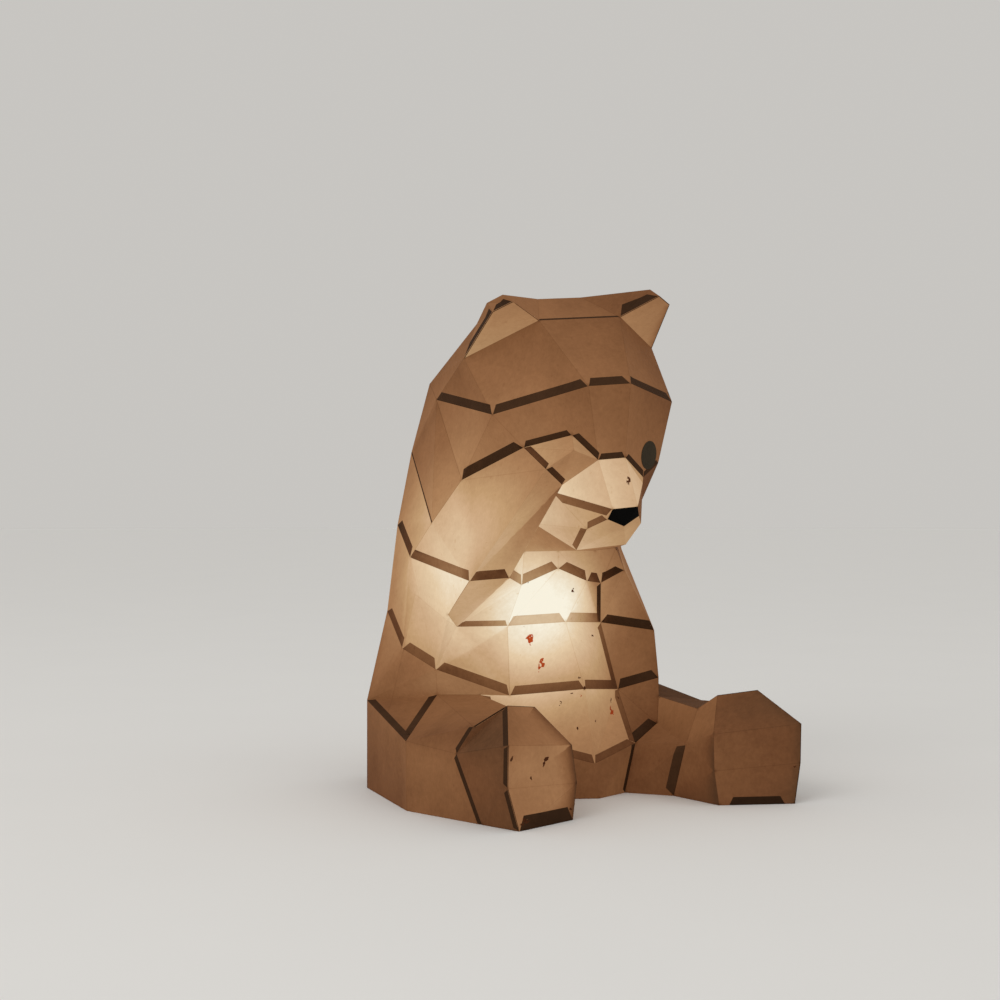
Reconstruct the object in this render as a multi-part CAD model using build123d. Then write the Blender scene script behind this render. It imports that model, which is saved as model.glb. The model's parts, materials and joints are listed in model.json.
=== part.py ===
"""Bear night light: a seated bear folded from translucent paper over a small stand with a globe bulb.

Millimetres, +Z up. The origin is the middle of the stand's underside, on the floor. The bear faces -Y
and its left side is +X. Every sheet of the shade is a closed solid one paper thick. It is drawn by the
corners where its flat panels meet, and it carries glue tabs that lie under the sheet next to it.
"""
import os
from math import cos, radians, sin, tan

from build123d import *

# Paper and glue tabs
PAPER = 0.5
TAB_WIDTH = 8.0
TAB_END_ANGLE = 55.0
TAB_ROOT_INSET = 1.5
TAB_ROOT_STRIP = 0.4
TAB_SHORTEST = 5.0
FLAT_ENOUGH = 1.5
GLUE_GAP = 0.1
HEM_WIDTH = 8.0
HEMMED_SHEETS = ("right_sole", "left_sole")

# The bowed head leans towards the raised paw
HEAD_LEAN = 4.9
HEAD_PIVOT_HEIGHT = 290.0

# Eye oval, its tilt, and its place as shares of three corners of its panel
EYE_LENGTH = 28.0
EYE_HEIGHT = 23.5
EYE_TILT = 14.0
EYE_THICKNESS = 0.4
EYE_PLACE = {"brow_in_l": 0.165, "muzzle_side_l": 0.348, "cheek_l": 0.487}

# Cord opening in the rear hem
CORD_GATE_WIDTH = 18.0
CORD_GATE_HEIGHT = 20.0

# Stand: foot
BASE_DIAMETER = 120.0
BASE_HEIGHT = 18.0
BASE_WALL = 1.2
BASE_EDGE_RADIUS = 5.0
PAD_THICKNESS = 2.0
PAD_RIM = 6.0
PAD_HOLE_CLEARANCE = 0.5
PLATE_THICKNESS = 1.5
PLATE_CLEARANCE = 0.2
BALLAST_SWITCH_GAP = 4.7
BALLAST_BORE = 24.0
BALLAST_HEIGHT = 10.0
SCREW_COUNT = 3
SCREW_RIM_DISTANCE = 15.0
SCREW_DIAMETER = 3.0
SCREW_LENGTH = 8.0
SCREW_HEAD_DIAMETER = 5.5
SCREW_HEAD_HEIGHT = 1.2
BOSS_DIAMETER = 7.0

# Stand: stem and lampholder
STEM_DIAMETER = 10.0
STEM_BORE = 7.0
STEM_LENGTH = 86.0
STEM_TAIL = 2.0
STEM_CLEARANCE = 0.1
NUT_ACROSS_FLATS = 14.0
NUT_HEIGHT = 4.0
HOLDER_DIAMETER = 27.0
HOLDER_WALL = 1.6
HOLDER_RIM = 1.2
HOLDER_GRIP = 6.0
HOLDER_CAP_HEIGHT = 16.0
HOLDER_SHELL_HEIGHT = 30.0
CORE_HEIGHT = 6.0
CORE_CLEARANCE = 0.1
SCREW_SHELL_WALL = 0.4
SCREW_SHELL_HEIGHT = 18.0
CONTACT_DIAMETER = 5.0
CONTACT_HEIGHT = 1.5
CONTACT_CLEARANCE = 0.2

# Bulb
BULB_CAP_DIAMETER = 13.8
BULB_CAP_LENGTH = 15.0
BULB_THREAD_CLEARANCE = 0.35
BULB_TIP_HEIGHT = 2.0
THREAD_PITCH = 2.8
THREAD_DEPTH = 0.5
HOUSING_LIP = 1.5
HOUSING_COLLAR_HEIGHT = 7.0
HOUSING_HEIGHT = 11.0
GLOBE_DIAMETER = 45.0
GLOBE_WALL = 1.0
GLOBE_NECK_DIAMETER = 30.0
LED_BOARD_DIAMETER = 24.0
LED_BOARD_THICKNESS = 1.6

# Switch and cord bush
SWITCH_RIM_DISTANCE = 20.0
SWITCH_WALL = 1.0
SWITCH_FLANGE = 1.5
SWITCH_FLANGE_HEIGHT = 1.2
SWITCH_DEPTH = 10.0
ROCKER_LENGTH = 16.0
ROCKER_WIDTH = 8.0
ROCKER_RISE = 2.5
ROCKER_DEPTH = 4.5
ROCKER_CLEARANCE = 0.3
ROCKER_PIN_DIAMETER = 2.0
ROCKER_PIN_LENGTH = 0.7
ROCKER_PIN_DROP = 1.5
PIN_CLEARANCE = 0.05
BUSH_BORE = 6.4
BUSH_DIAMETER = 10.0
BUSH_FLANGE_DIAMETER = 13.0
BUSH_FLANGE = 2.0
BUSH_TAIL = 3.0

# Corners of the body: half width, depth and height, the same on both sides
BODY_PAIRS = {
    "sole_out_base": (127, -210, 0),
    "sole_in_base": (68, -188, 0),
    "sole_out_low": (135, -207, 32),
    "sole_in_low": (64, -187, 28),
    "sole_out_mid": (135, -208, 64),
    "sole_in_mid": (66, -183, 57),
    "sole_out_top": (117, -173, 89),
    "sole_in_top": (86, -160, 85),
    "ankle_out_base": (139, -173, 0),
    "ankle_out_mid": (150, -152, 52),
    "ankle_out_top": (140, -161, 73),
    "ankle_in_base": (61, -133, 0),
    "ankle_in_mid": (60, -152, 45),
    "ankle_in_top": (76, -146, 73),
    "knee_base": (164, -92, 0),
    "knee_top": (164, -91, 55),
    "hip_base": (147, 24, 0),
    "hip_top": (147, 24, 75),
    "crotch_base": (34, -100, 0),
    "crotch_top": (45, -99, 41),
    "groin": (82, -76, 53),
    "belly": (53, -58, 82),
    "ribs": (46, -41, 139),
    "chest": (39, -53, 174),
    "throat": (35, -50, 202),
    "seat_base": (105, 86, 0),
    "gate_base": (CORD_GATE_WIDTH / 2, 86, 0),
    "gate_top": (CORD_GATE_WIDTH / 2, 86, CORD_GATE_HEIGHT),
    "seat": (105, 86, 75),
    "loin": (88, 88, 150),
    "back": (78, 84, 224),
    "nape": (64, 70, 287),
    "side_low": (124, 33, 150),
    "side_mid": (112, 38, 224),
    "side_high": (95, 46, 287),
}

# Corners of the upright head, before it leans
HEAD_PAIRS = {
    "scruff": (46, 60, 354),
    "head_side": (75, 40, 354),
    "brow_side": (88, 2, 339),
    "brow_out": (87, -96, 322),
    "brow_in": (20, -138, 339),
    "ear_in": (39, -99, 396),
    "ear_low": (92, -63, 370),
    "ear_side": (85, -106, 404),
    "ear_top": (70, -114, 411),
    "ear_tip": (71, -99, 418),
    "ear_back": (78, -84, 413),
    "ear_root": (77, -62, 398),
    "crown": (21, -68, 416),
    "crown_back": (34, 10, 408),
    "cheek": (63.6, -103.6, 271.3),
    "jaw": (50, -85, 230),
    "muzzle_root": (13, -133, 279),
    "muzzle_side": (39, -117, 261),
    "muzzle_low": (44, -108, 256),
    "nose_top": (12, -148, 239),
    "nose_side": (15, -144, 231),
    "chin_side": (26, -129, 224),
    "chin_low": (24, -106, 206),
}

# Corners on the middle line: depth and height
BODY_MIDDLE = {
    "front_base": (-115, 0),
    "belly_tip": (-108, 28),
    "belly_mid": (-92, 88),
    "ribs_mid": (-60, 142),
    "chest_mid": (-47, 187),
    "throat_mid": (-47, 202),
}
HEAD_MIDDLE = {"nose_tip": (-144, 224)}

# Corners of one side only: the raised right arm, the hanging left arm and what meets them
SIDE_CORNERS = {
    "thigh_root_r": (-100, -16, 81),
    "groin_top_r": (-72, -41, 82),
    "hip_front_r": (-108, -30, 104),
    "hip_back_r": (-125, 0, 120),
    "rib_out_r": (-108, -53, 151),
    "rib_in_r": (-95, -43, 140),
    "elbow_back_r": (-120, -5, 197),
    "elbow_tip_r": (-105, -86, 180),
    "elbow_in_r": (-70, -89, 182),
    "shoulder_r": (-115, -36, 226),
    "arm_top_r": (-95, -52, 262),
    "wrist_r": (-60, -132, 270),
    "paw_out_r": (-65, -104, 288),
    "paw_top_r": (-32, -125, 298),
    "paw_pad_r": (-39, -140, 285),
    "thigh_root_l": (100, -16, 70),
    "groin_top_l": (88, -69, 75),
    "paw_front_l": (90, -66, 91),
    "paw_back_l": (114, 2, 92),
    "elbow_front_l": (88, -62, 132),
    "elbow_back_l": (112, 0, 140),
    "arm_top_l": (58, -61, 185),
    "shoulder_l": (88, 10, 225),
    "chest_bend_l": (24, -55, 176),
    "throat_out_l": (60, -44, 204),
}


# Sheets of the shade, as panels between corners, seen from outside and read anticlockwise. A sheet's
# tabs lie under the sheets that come after it here. A star stands for both sides, drawn for the right.
SHEETS = {
    "*_sole": (
        "sole_out_base* sole_in_base* sole_in_low* sole_out_low*",
        "sole_out_low* sole_in_low* sole_in_mid* sole_out_mid*",
        "sole_out_mid* sole_in_mid* sole_in_top* sole_out_top*",
    ),
    "*_foot_outer": (
        "ankle_out_base* sole_out_base* sole_out_low* ankle_out_mid*",
        "ankle_out_mid* sole_out_low* sole_out_mid*",
        "ankle_out_mid* sole_out_mid* sole_out_top* ankle_out_top*",
    ),
    "*_foot_inner": (
        "ankle_in_mid* sole_in_low* sole_in_base* ankle_in_base*",
        "ankle_in_mid* sole_in_mid* sole_in_low*",
        "ankle_in_mid* ankle_in_top* sole_in_top* sole_in_mid*",
    ),
    "*_leg": (
        "hip_base* knee_base* knee_top* hip_top*",
        "knee_base* ankle_out_base* ankle_out_mid* knee_top*",
        "knee_top* ankle_out_mid* ankle_out_top* thigh_root*",
        "ankle_in_top* groin_top* thigh_root* ankle_out_top*",
        "ankle_out_top* sole_out_top* sole_in_top* ankle_in_top*",
    ),
    "*_leg_inner": (
        "ankle_in_base* crotch_base* crotch_top* ankle_in_mid*",
        "ankle_in_mid* crotch_top* groin*",
        "ankle_in_mid* groin* groin_top* ankle_in_top*",
    ),
    "crotch": (
        "crotch_base_r front_base belly_tip crotch_top_r",
        "front_base crotch_base_l crotch_top_l belly_tip",
    ),
    "left_paw": (
        "belly_l crotch_top_l groin_l groin_top_l paw_front_l",
        "paw_front_l groin_top_l thigh_root_l paw_back_l",
    ),
    "left_forearm": (
        "belly_l paw_front_l elbow_front_l ribs_l",
        "paw_front_l paw_back_l elbow_back_l elbow_front_l",
    ),
    "left_upper_arm": (
        "ribs_l elbow_front_l arm_top_l chest_l",
        "elbow_front_l elbow_back_l shoulder_l arm_top_l",
    ),
    "rump": (
        "hip_top_r knee_top_r thigh_root_r",
        "hip_top_r thigh_root_r hip_front_r",
        "hip_top_r hip_front_r hip_back_r",
        "hip_top_r hip_back_r side_low_r",
        "hip_front_r thigh_root_r groin_top_r",
        "hip_front_r groin_top_r belly_r",
        "seat_r seat_base_r hip_base_r hip_top_r",
        "seat_r hip_top_r side_low_r loin_r",
        "seat_base_r seat_r gate_top_r",
        "seat_base_r gate_top_r gate_base_r",
        "gate_top_r seat_r seat_l gate_top_l",
        "gate_top_l seat_l seat_base_l",
        "gate_top_l seat_base_l gate_base_l",
        "seat_r loin_r loin_l seat_l",
        "seat_l loin_l side_low_l hip_top_l",
        "seat_l hip_top_l hip_base_l seat_base_l",
        "hip_top_l side_low_l paw_back_l",
        "hip_top_l paw_back_l thigh_root_l",
        "hip_top_l thigh_root_l knee_top_l",
    ),
    "belly_lower": (
        "groin_r crotch_top_r belly_r groin_top_r",
        "crotch_top_r belly_tip belly_mid belly_r",
        "belly_tip crotch_top_l belly_l belly_mid",
    ),
    "waist": (
        "belly_r ribs_r rib_in_r",
        "hip_front_r belly_r rib_in_r",
        "hip_front_r rib_in_r rib_out_r",
        "hip_front_r rib_out_r elbow_back_r",
        "rib_out_r elbow_tip_r elbow_back_r",
        "hip_back_r hip_front_r elbow_back_r",
        "side_low_r hip_back_r elbow_back_r",
        "side_low_r elbow_back_r side_mid_r",
        "loin_r side_low_r side_mid_r back_r",
        "loin_l loin_r back_r back_l",
        "side_low_l loin_l back_l side_mid_l",
        "side_low_l side_mid_l shoulder_l",
        "side_low_l shoulder_l elbow_back_l",
        "side_low_l elbow_back_l paw_back_l",
    ),
    "belly_middle": (
        "belly_r belly_mid ribs_mid ribs_r",
        "belly_mid belly_l ribs_l ribs_mid",
    ),
    "right_upper_arm": (
        "rib_out_r rib_in_r elbow_in_r elbow_tip_r",
        "rib_in_r ribs_r chest_r elbow_in_r",
    ),
    "belly_upper": (
        "ribs_r ribs_mid chest_mid chest_r",
        "ribs_mid ribs_l chest_bend_l chest_mid",
        "ribs_l chest_l chest_bend_l",
    ),
    "back_upper": (
        "side_mid_r elbow_back_r shoulder_r side_high_r",
        "back_r side_mid_r side_high_r nape_r",
        "back_l back_r nape_r nape_l",
        "side_mid_l back_l nape_l side_high_l",
        "shoulder_l side_mid_l side_high_l",
    ),
    "neck": (
        "elbow_in_r chest_r throat_r",
        "chest_r chest_mid throat_mid throat_r",
        "throat_mid chest_mid chest_bend_l throat_l",
        "throat_l chest_bend_l chest_l",
        "chest_l arm_top_l throat_out_l throat_l",
    ),
    "right_forearm": (
        "elbow_back_r elbow_tip_r shoulder_r",
        "shoulder_r elbow_tip_r arm_top_r",
        "arm_top_r elbow_tip_r wrist_r",
        "arm_top_r wrist_r paw_out_r",
        "elbow_tip_r elbow_in_r muzzle_side_r wrist_r",
        "elbow_in_r muzzle_low_r muzzle_side_r",
        "elbow_in_r jaw_r muzzle_low_r",
        "elbow_in_r throat_r jaw_r",
    ),
    "right_paw": (
        "paw_pad_r paw_out_r wrist_r",
        "paw_pad_r wrist_r muzzle_side_r",
        "paw_pad_r muzzle_side_r muzzle_root_r",
        "paw_pad_r muzzle_root_r paw_top_r",
        "paw_pad_r paw_top_r paw_out_r",
    ),
    "neck_right": (
        "shoulder_r arm_top_r brow_side_r",
        "shoulder_r brow_side_r side_high_r",
        "side_high_r brow_side_r head_side_r",
    ),
    "neck_left": (
        "arm_top_l shoulder_l throat_out_l",
        "throat_out_l shoulder_l jaw_l",
        "jaw_l shoulder_l cheek_l",
        "cheek_l shoulder_l side_high_l",
        "cheek_l side_high_l brow_side_l",
        "side_high_l head_side_l brow_side_l",
    ),
    "throat": (
        "jaw_r throat_r chin_low_r",
        "throat_mid throat_l chin_low_l chin_low_r throat_r",
        "chin_low_l throat_l throat_out_l jaw_l",
    ),
    "chin": (
        "nose_tip nose_side_r chin_side_r",
        "nose_tip chin_side_r chin_low_r",
        "nose_tip chin_low_r chin_low_l",
        "nose_tip chin_low_l chin_side_l",
        "nose_tip chin_side_l nose_side_l",
    ),
    "muzzle_top": (
        "muzzle_root_r nose_top_r nose_top_l muzzle_root_l",
        "muzzle_root_r muzzle_side_r muzzle_low_r nose_top_r",
        "muzzle_root_l nose_top_l muzzle_low_l muzzle_side_l",
    ),
    "nose": ("nose_tip nose_side_l nose_top_l nose_top_r nose_side_r",),
    "right_muzzle_side": (
        "muzzle_low_r chin_side_r nose_side_r nose_top_r",
        "muzzle_low_r jaw_r chin_side_r",
        "jaw_r chin_low_r chin_side_r",
    ),
    "left_muzzle_side": (
        "muzzle_low_l nose_top_l nose_side_l chin_side_l",
        "muzzle_low_l chin_side_l jaw_l",
        "jaw_l chin_side_l chin_low_l",
        "muzzle_low_l jaw_l cheek_l muzzle_side_l",
    ),
    "face": (
        "brow_side_r arm_top_r brow_out_r",
        "arm_top_r paw_out_r brow_out_r",
        "brow_in_r brow_out_r paw_out_r paw_top_r muzzle_root_r",
        "brow_in_r muzzle_root_r muzzle_root_l brow_in_l",
        "brow_in_l muzzle_root_l muzzle_side_l",
        "brow_in_l muzzle_side_l cheek_l brow_out_l",
        "brow_out_l cheek_l brow_side_l",
    ),
    "forehead": (
        "brow_side_r brow_out_r ear_low_r",
        "ear_low_r brow_out_r brow_in_r ear_in_r",
        "ear_in_r brow_in_r brow_in_l ear_in_l",
        "ear_low_l ear_in_l brow_in_l brow_out_l",
        "brow_side_l ear_low_l brow_out_l",
    ),
    "*_ear_front": ("ear_low* ear_in* ear_top* ear_side*",),
    "nape": (
        "side_high_r head_side_r scruff_r nape_r",
        "nape_l nape_r scruff_r scruff_l",
        "side_high_l nape_l scruff_l head_side_l",
    ),
    "head_back": (
        "head_side_r brow_side_r ear_low_r ear_root_r",
        "scruff_r head_side_r ear_root_r crown_back_r",
        "scruff_l scruff_r crown_back_r crown_back_l",
        "scruff_l crown_back_l ear_root_l head_side_l",
        "head_side_l ear_root_l ear_low_l brow_side_l",
    ),
    "crown": (
        "ear_side_r ear_back_r ear_root_r ear_low_r",
        "ear_top_r ear_tip_r ear_back_r ear_side_r",
        "ear_in_r crown_r ear_tip_r ear_top_r",
        "ear_root_r ear_back_r ear_tip_r crown_r",
        "ear_root_r crown_r crown_back_r",
        "ear_in_r ear_in_l crown_l crown_r",
        "crown_r crown_l crown_back_l crown_back_r",
        "ear_root_l crown_back_l crown_l",
        "ear_root_l crown_l ear_tip_l ear_back_l",
        "ear_in_l ear_top_l ear_tip_l crown_l",
        "ear_top_l ear_side_l ear_back_l ear_tip_l",
        "ear_side_l ear_low_l ear_root_l ear_back_l",
    ),
}


def lean(point):
    """Lean a corner of the upright head to the right, about the pivot in the neck."""
    up = point.Z - HEAD_PIVOT_HEIGHT
    turn = radians(HEAD_LEAN)
    return Vector(
        point.X * cos(turn) - up * sin(turn),
        point.Y,
        HEAD_PIVOT_HEIGHT + point.X * sin(turn) + up * cos(turn),
    )


def all_corners():
    """Every corner of the shade by name."""
    corners = {name: Vector(*place) for name, place in SIDE_CORNERS.items()}
    for name, (across, depth, height) in BODY_PAIRS.items():
        corners[name + "_l"] = Vector(across, depth, height)
        corners[name + "_r"] = Vector(-across, depth, height)
    for name, (across, depth, height) in HEAD_PAIRS.items():
        corners[name + "_l"] = lean(Vector(across, depth, height))
        corners[name + "_r"] = lean(Vector(-across, depth, height))
    for name, (depth, height) in BODY_MIDDLE.items():
        corners[name] = Vector(0, depth, height)
    for name, (depth, height) in HEAD_MIDDLE.items():
        corners[name] = lean(Vector(0, depth, height))
    return corners


def all_sheets():
    """Every sheet by name, as lists of corner names. A mirrored panel is read the other way round."""
    sheets = {}
    for name, panels in SHEETS.items():
        if "*" not in name:
            sheets[name] = [panel.split() for panel in panels]
            continue
        sheets[name.replace("*", "right")] = [panel.replace("*", "_r").split() for panel in panels]
        sheets[name.replace("*", "left")] = [panel.replace("*", "_l").split()[::-1] for panel in panels]
    return sheets


def triangles(panel):
    """A panel as a fan of triangles from its first corner."""
    return [(panel[0], panel[i], panel[i + 1]) for i in range(1, len(panel) - 1)]


def plane_normal(a, b, c):
    return (b - a).cross(c - a).normalized()


def polygon(*points):
    return Face(Wire.make_polygon(points))


def corner_angle(at, one, other):
    return radians((one - at).get_angle(other - at))


CORNERS = all_corners()
SHEET_PANELS = all_sheets()
SHEET_ORDER = list(SHEET_PANELS)

# The panel and the triangle on each side of an edge, by the edge's two corners in reading order
PANEL_AT = {}
TRIANGLE_AT = {}
NORMALS_AT = {name: [] for name in CORNERS}
for sheet, panels in SHEET_PANELS.items():
    for panel in panels:
        for triangle in triangles(panel):
            normal = plane_normal(*[CORNERS[name] for name in triangle])
            for i in range(3):
                NORMALS_AT[triangle[i]].append(normal)
                TRIANGLE_AT[(triangle[i], triangle[(i + 1) % 3])] = (sheet, triangle)
        for i, name in enumerate(panel):
            PANEL_AT[(name, panel[(i + 1) % len(panel)])] = panel


def inner_corner(name):
    """The corner moved inward until the panels that meet there are one paper thick."""
    corner = CORNERS[name]
    move = Vector(0, 0, 0)
    for _ in range(150):
        for normal in NORMALS_AT[name]:
            move = move - normal * (0.3 * (move.dot(normal) + PAPER))
        if corner.Z == 0:
            move = Vector(move.X, move.Y, 0)
    return corner + move


INNER = {name: inner_corner(name) for name, normals in NORMALS_AT.items() if normals}


def across_edge(start, along, third):
    """Unit direction in the panel's plane, square to the edge, towards the third corner."""
    reach = third - start
    return (reach - along * reach.dot(along)).normalized()


def tab_width(length, reach, angles):
    """Widest tab for an edge: never past half the panel, and its slanted ends leave a free edge."""
    width = min(TAB_WIDTH, 0.45 * reach)
    slant = sum(1 / tan(angle) for angle in angles)
    room = length - 2 * TAB_ROOT_INSET - TAB_SHORTEST
    return min(width, room / slant)


def glue_tab(edge):
    """The tab that folds over an edge and lies under the next sheet.

    Gives the four points that notch the owner's inner face, root to root, and the tab's faces.
    """
    first, second = edge
    owner = TRIANGLE_AT[edge][1]
    under_panel = PANEL_AT[(second, first)]
    under = TRIANGLE_AT[(second, first)][1]
    own_third = next(name for name in owner if name not in edge)
    under_third = next(name for name in under if name not in edge)
    start, end = INNER[first], INNER[second]
    length = (end - start).length
    along = (end - start).normalized()
    own_way = across_edge(start, along, INNER[own_third])
    tab_way = across_edge(start, along, INNER[under_third])
    own_inward = own_way.cross(along)
    tab_inward = along.cross(tab_way)

    normal = plane_normal(*[CORNERS[name] for name in under])
    bend = max(abs((CORNERS[name] - CORNERS[first]).dot(normal)) for name in under_panel)
    if bend > FLAT_ENOUGH:
        under_panel = under
    place = under_panel.index(second)
    before = under_panel[place - 1]
    after = under_panel[(place + 2) % len(under_panel)]
    half_angles = [
        0.48 * corner_angle(CORNERS[first], CORNERS[second], CORNERS[after]),
        0.48 * corner_angle(CORNERS[second], CORNERS[first], CORNERS[before]),
    ]
    ends = [min(radians(TAB_END_ANGLE), angle) for angle in half_angles]
    reach = max((CORNERS[name] - CORNERS[first]).dot(tab_way) for name in under_panel)
    width = tab_width(length, reach, ends)
    if width < 2 * PAPER:
        return None

    roots = [start + along * TAB_ROOT_INSET, end - along * TAB_ROOT_INSET]
    strips = [
        roots[0] + along * (TAB_ROOT_STRIP / 2) + own_way * TAB_ROOT_STRIP,
        roots[1] - along * (TAB_ROOT_STRIP / 2) + own_way * TAB_ROOT_STRIP,
    ]
    fold = PAPER / max(1 + own_inward.dot(tab_inward), 0.5)
    root_depth = (own_inward + tab_inward) * fold
    out = tab_way * width + tab_inward * GLUE_GAP
    tips = [
        roots[0] + along * (width / tan(ends[0])) + out,
        roots[1] - along * (width / tan(ends[1])) + out,
    ]
    deep_roots = [root + root_depth for root in roots]
    deep_tips = [tip + tab_inward * PAPER for tip in tips]
    faces = [
        polygon(roots[0], roots[1], tips[1], tips[0]),
        polygon(tips[0], tips[1], deep_tips[1], deep_tips[0]),
        polygon(deep_tips[0], deep_tips[1], deep_roots[1], deep_roots[0]),
        polygon(deep_roots[0], deep_roots[1], strips[1], strips[0]),
    ]
    for i in range(2):
        faces.append(polygon(roots[i], strips[i], deep_roots[i]))
        faces.append(polygon(roots[i], deep_roots[i], deep_tips[i]))
        faces.append(polygon(roots[i], deep_tips[i], tips[i]))
    return (roots[0], strips[0], strips[1], roots[1]), faces


def hem_flap(edge):
    """The flap of a free edge on the floor, folded back up behind its own panel.

    Gives the four points that notch the panel's inner face, root to root, and the flap's faces.
    """
    first, second = edge
    owner = TRIANGLE_AT[edge][1]
    third = next(name for name in owner if name not in edge)
    start, end = INNER[first], INNER[second]
    along = (end - start).normalized()
    up_way = across_edge(start, along, INNER[third])
    inward = up_way.cross(along)
    level_inward = Vector(inward.X, inward.Y, 0).normalized()

    roots = [start + along * TAB_ROOT_INSET, end - along * TAB_ROOT_INSET]
    strips = [
        roots[0] + along * (TAB_ROOT_STRIP / 2) + up_way * TAB_ROOT_STRIP,
        roots[1] - along * (TAB_ROOT_STRIP / 2) + up_way * TAB_ROOT_STRIP,
    ]
    slant = along * (HEM_WIDTH / tan(radians(TAB_END_ANGLE)))
    out = up_way * HEM_WIDTH + inward * GLUE_GAP
    tips = [roots[0] + slant + out, roots[1] - slant + out]
    deep_roots = [root + level_inward * PAPER for root in roots]
    deep_tips = [tip + inward * PAPER for tip in tips]
    faces = [
        polygon(strips[0], strips[1], tips[1], tips[0]),
        polygon(tips[0], tips[1], deep_tips[1], deep_tips[0]),
        polygon(deep_tips[0], deep_tips[1], deep_roots[1], deep_roots[0]),
        polygon(deep_roots[0], deep_roots[1], roots[1], roots[0]),
    ]
    for i in range(2):
        faces.append(polygon(roots[i], strips[i], deep_roots[i]))
        faces.append(polygon(strips[i], tips[i], deep_tips[i]))
        faces.append(polygon(strips[i], deep_tips[i], deep_roots[i]))
    return (roots[0], strips[0], strips[1], roots[1]), faces


def owned_tab(sheet, edge):
    """The flap of a hemmed edge, or the tab of an edge whose other sheet is glued on later."""
    across = TRIANGLE_AT.get((edge[1], edge[0]))
    if across is None:
        return hem_flap(edge) if sheet in HEMMED_SHEETS else None
    if SHEET_ORDER.index(across[0]) <= SHEET_ORDER.index(sheet):
        return None
    return glue_tab(edge)


def edge_wall(first, second, roots):
    """The cut edge of a sheet, split the same way on the sheet it meets."""
    low, high = sorted((first, second))
    inner = [INNER[high], *(roots if low == first else roots[::-1])[::-1], INNER[low]]
    return [polygon(CORNERS[low], CORNERS[high], INNER[high]), polygon(CORNERS[low], *inner)]


def paper_sheet(sheet):
    """One sheet with its tabs as a closed solid."""
    outside = []
    faces = []
    for panel in SHEET_PANELS[sheet]:
        for triangle in triangles(panel):
            inner = []
            for i in range(3):
                edge = (triangle[i], triangle[(i + 1) % 3])
                inner.append(INNER[edge[0]])
                if TRIANGLE_AT.get((edge[1], edge[0]), (None,))[0] == sheet:
                    continue
                tab = owned_tab(sheet, edge)
                if tab is None:
                    faces += edge_wall(*edge, ())
                    continue
                notch, tab_faces = tab
                inner += notch
                faces += tab_faces
                faces += edge_wall(*edge, (notch[0], notch[3]))
            outside.append(polygon(*[CORNERS[name] for name in triangle]))
            faces.append(polygon(*inner))
    return Solid(Shell(outside + faces))


def eye_disc():
    """Oval disc of dark paper glued on the cheek panel."""
    centre = sum((CORNERS[name] * share for name, share in EYE_PLACE.items()), Vector(0, 0, 0))
    normal = plane_normal(*[CORNERS[name] for name in EYE_PLACE])
    level = Vector(0, 0, 1).cross(normal)
    rising = level.rotate(Axis((0, 0, 0), normal), EYE_TILT)
    seat = Plane(origin=centre + normal * GLUE_GAP, x_dir=rising, z_dir=normal)
    return extrude(seat * Ellipse(EYE_LENGTH / 2, EYE_HEIGHT / 2), EYE_THICKNESS)


# Heights of the stand, from the floor up
PLATE_Z = PAD_THICKNESS
CUP_TOP_Z = PAD_THICKNESS + BASE_HEIGHT
CUP_CEILING_Z = CUP_TOP_Z - BASE_WALL
BOSS_Z = PLATE_Z + PLATE_THICKNESS
STEM_Z = CUP_CEILING_Z - NUT_HEIGHT - STEM_TAIL
STEM_TOP_Z = STEM_Z + STEM_LENGTH
HOLDER_Z = STEM_TOP_Z - HOLDER_GRIP
SHELL_Z = HOLDER_Z + HOLDER_CAP_HEIGHT
CONTACT_Z = SHELL_Z + CORE_HEIGHT
BULB_Z = CONTACT_Z + CONTACT_HEIGHT + CONTACT_CLEARANCE
BULB_CAP_Z = BULB_Z + BULB_TIP_HEIGHT
HOUSING_Z = BULB_CAP_Z + BULB_CAP_LENGTH
NECK_Z = HOUSING_Z + HOUSING_COLLAR_HEIGHT + HOUSING_HEIGHT
GLOBE_RISE = (GLOBE_DIAMETER ** 2 - GLOBE_NECK_DIAMETER ** 2) ** 0.5 / 2
GLOBE_Z = NECK_Z + GLOBE_RISE

SCREW_PLACES = PolarLocations(BASE_DIAMETER / 2 - SCREW_RIM_DISTANCE, SCREW_COUNT, start_angle=-90)
SWITCH_Y = BASE_DIAMETER / 2 - SWITCH_RIM_DISTANCE
ROCKER_PIVOT_Z = CUP_TOP_Z + SWITCH_FLANGE_HEIGHT
ROCKER_SWING = ((ROCKER_LENGTH / 2) ** 2 + ROCKER_RISE ** 2) ** 0.5
POCKET_LENGTH = 2 * (ROCKER_SWING + ROCKER_CLEARANCE)
POCKET_WIDTH = ROCKER_WIDTH + 2 * ROCKER_CLEARANCE
SWITCH_LENGTH = POCKET_LENGTH + 2 * SWITCH_WALL
SWITCH_WIDTH = POCKET_WIDTH + 2 * SWITCH_WALL
BALLAST_DIAMETER = 2 * (SWITCH_Y - SWITCH_WIDTH / 2 - BALLAST_SWITCH_GAP)
BUSH_Z = PAD_THICKNESS + BASE_HEIGHT / 2


def disc(diameter, height, z):
    """Upright disc standing at a height."""
    return Pos(0, 0, z) * Cylinder(diameter / 2, height, align=(Align.CENTER, Align.CENTER, Align.MIN))


def tube(outer, inner, height, z):
    return disc(outer, height, z) - disc(inner, height, z)


def turned(*points):
    """Solid of revolution from radius and height pairs."""
    return revolve(Plane.XZ * make_face(Polyline(*points, close=True)), Axis.Z)


def box_at(length, width, height, x, y, z):
    return Pos(x, y, z) * Box(length, width, height, align=(Align.CENTER, Align.CENTER, Align.MIN))


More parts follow.
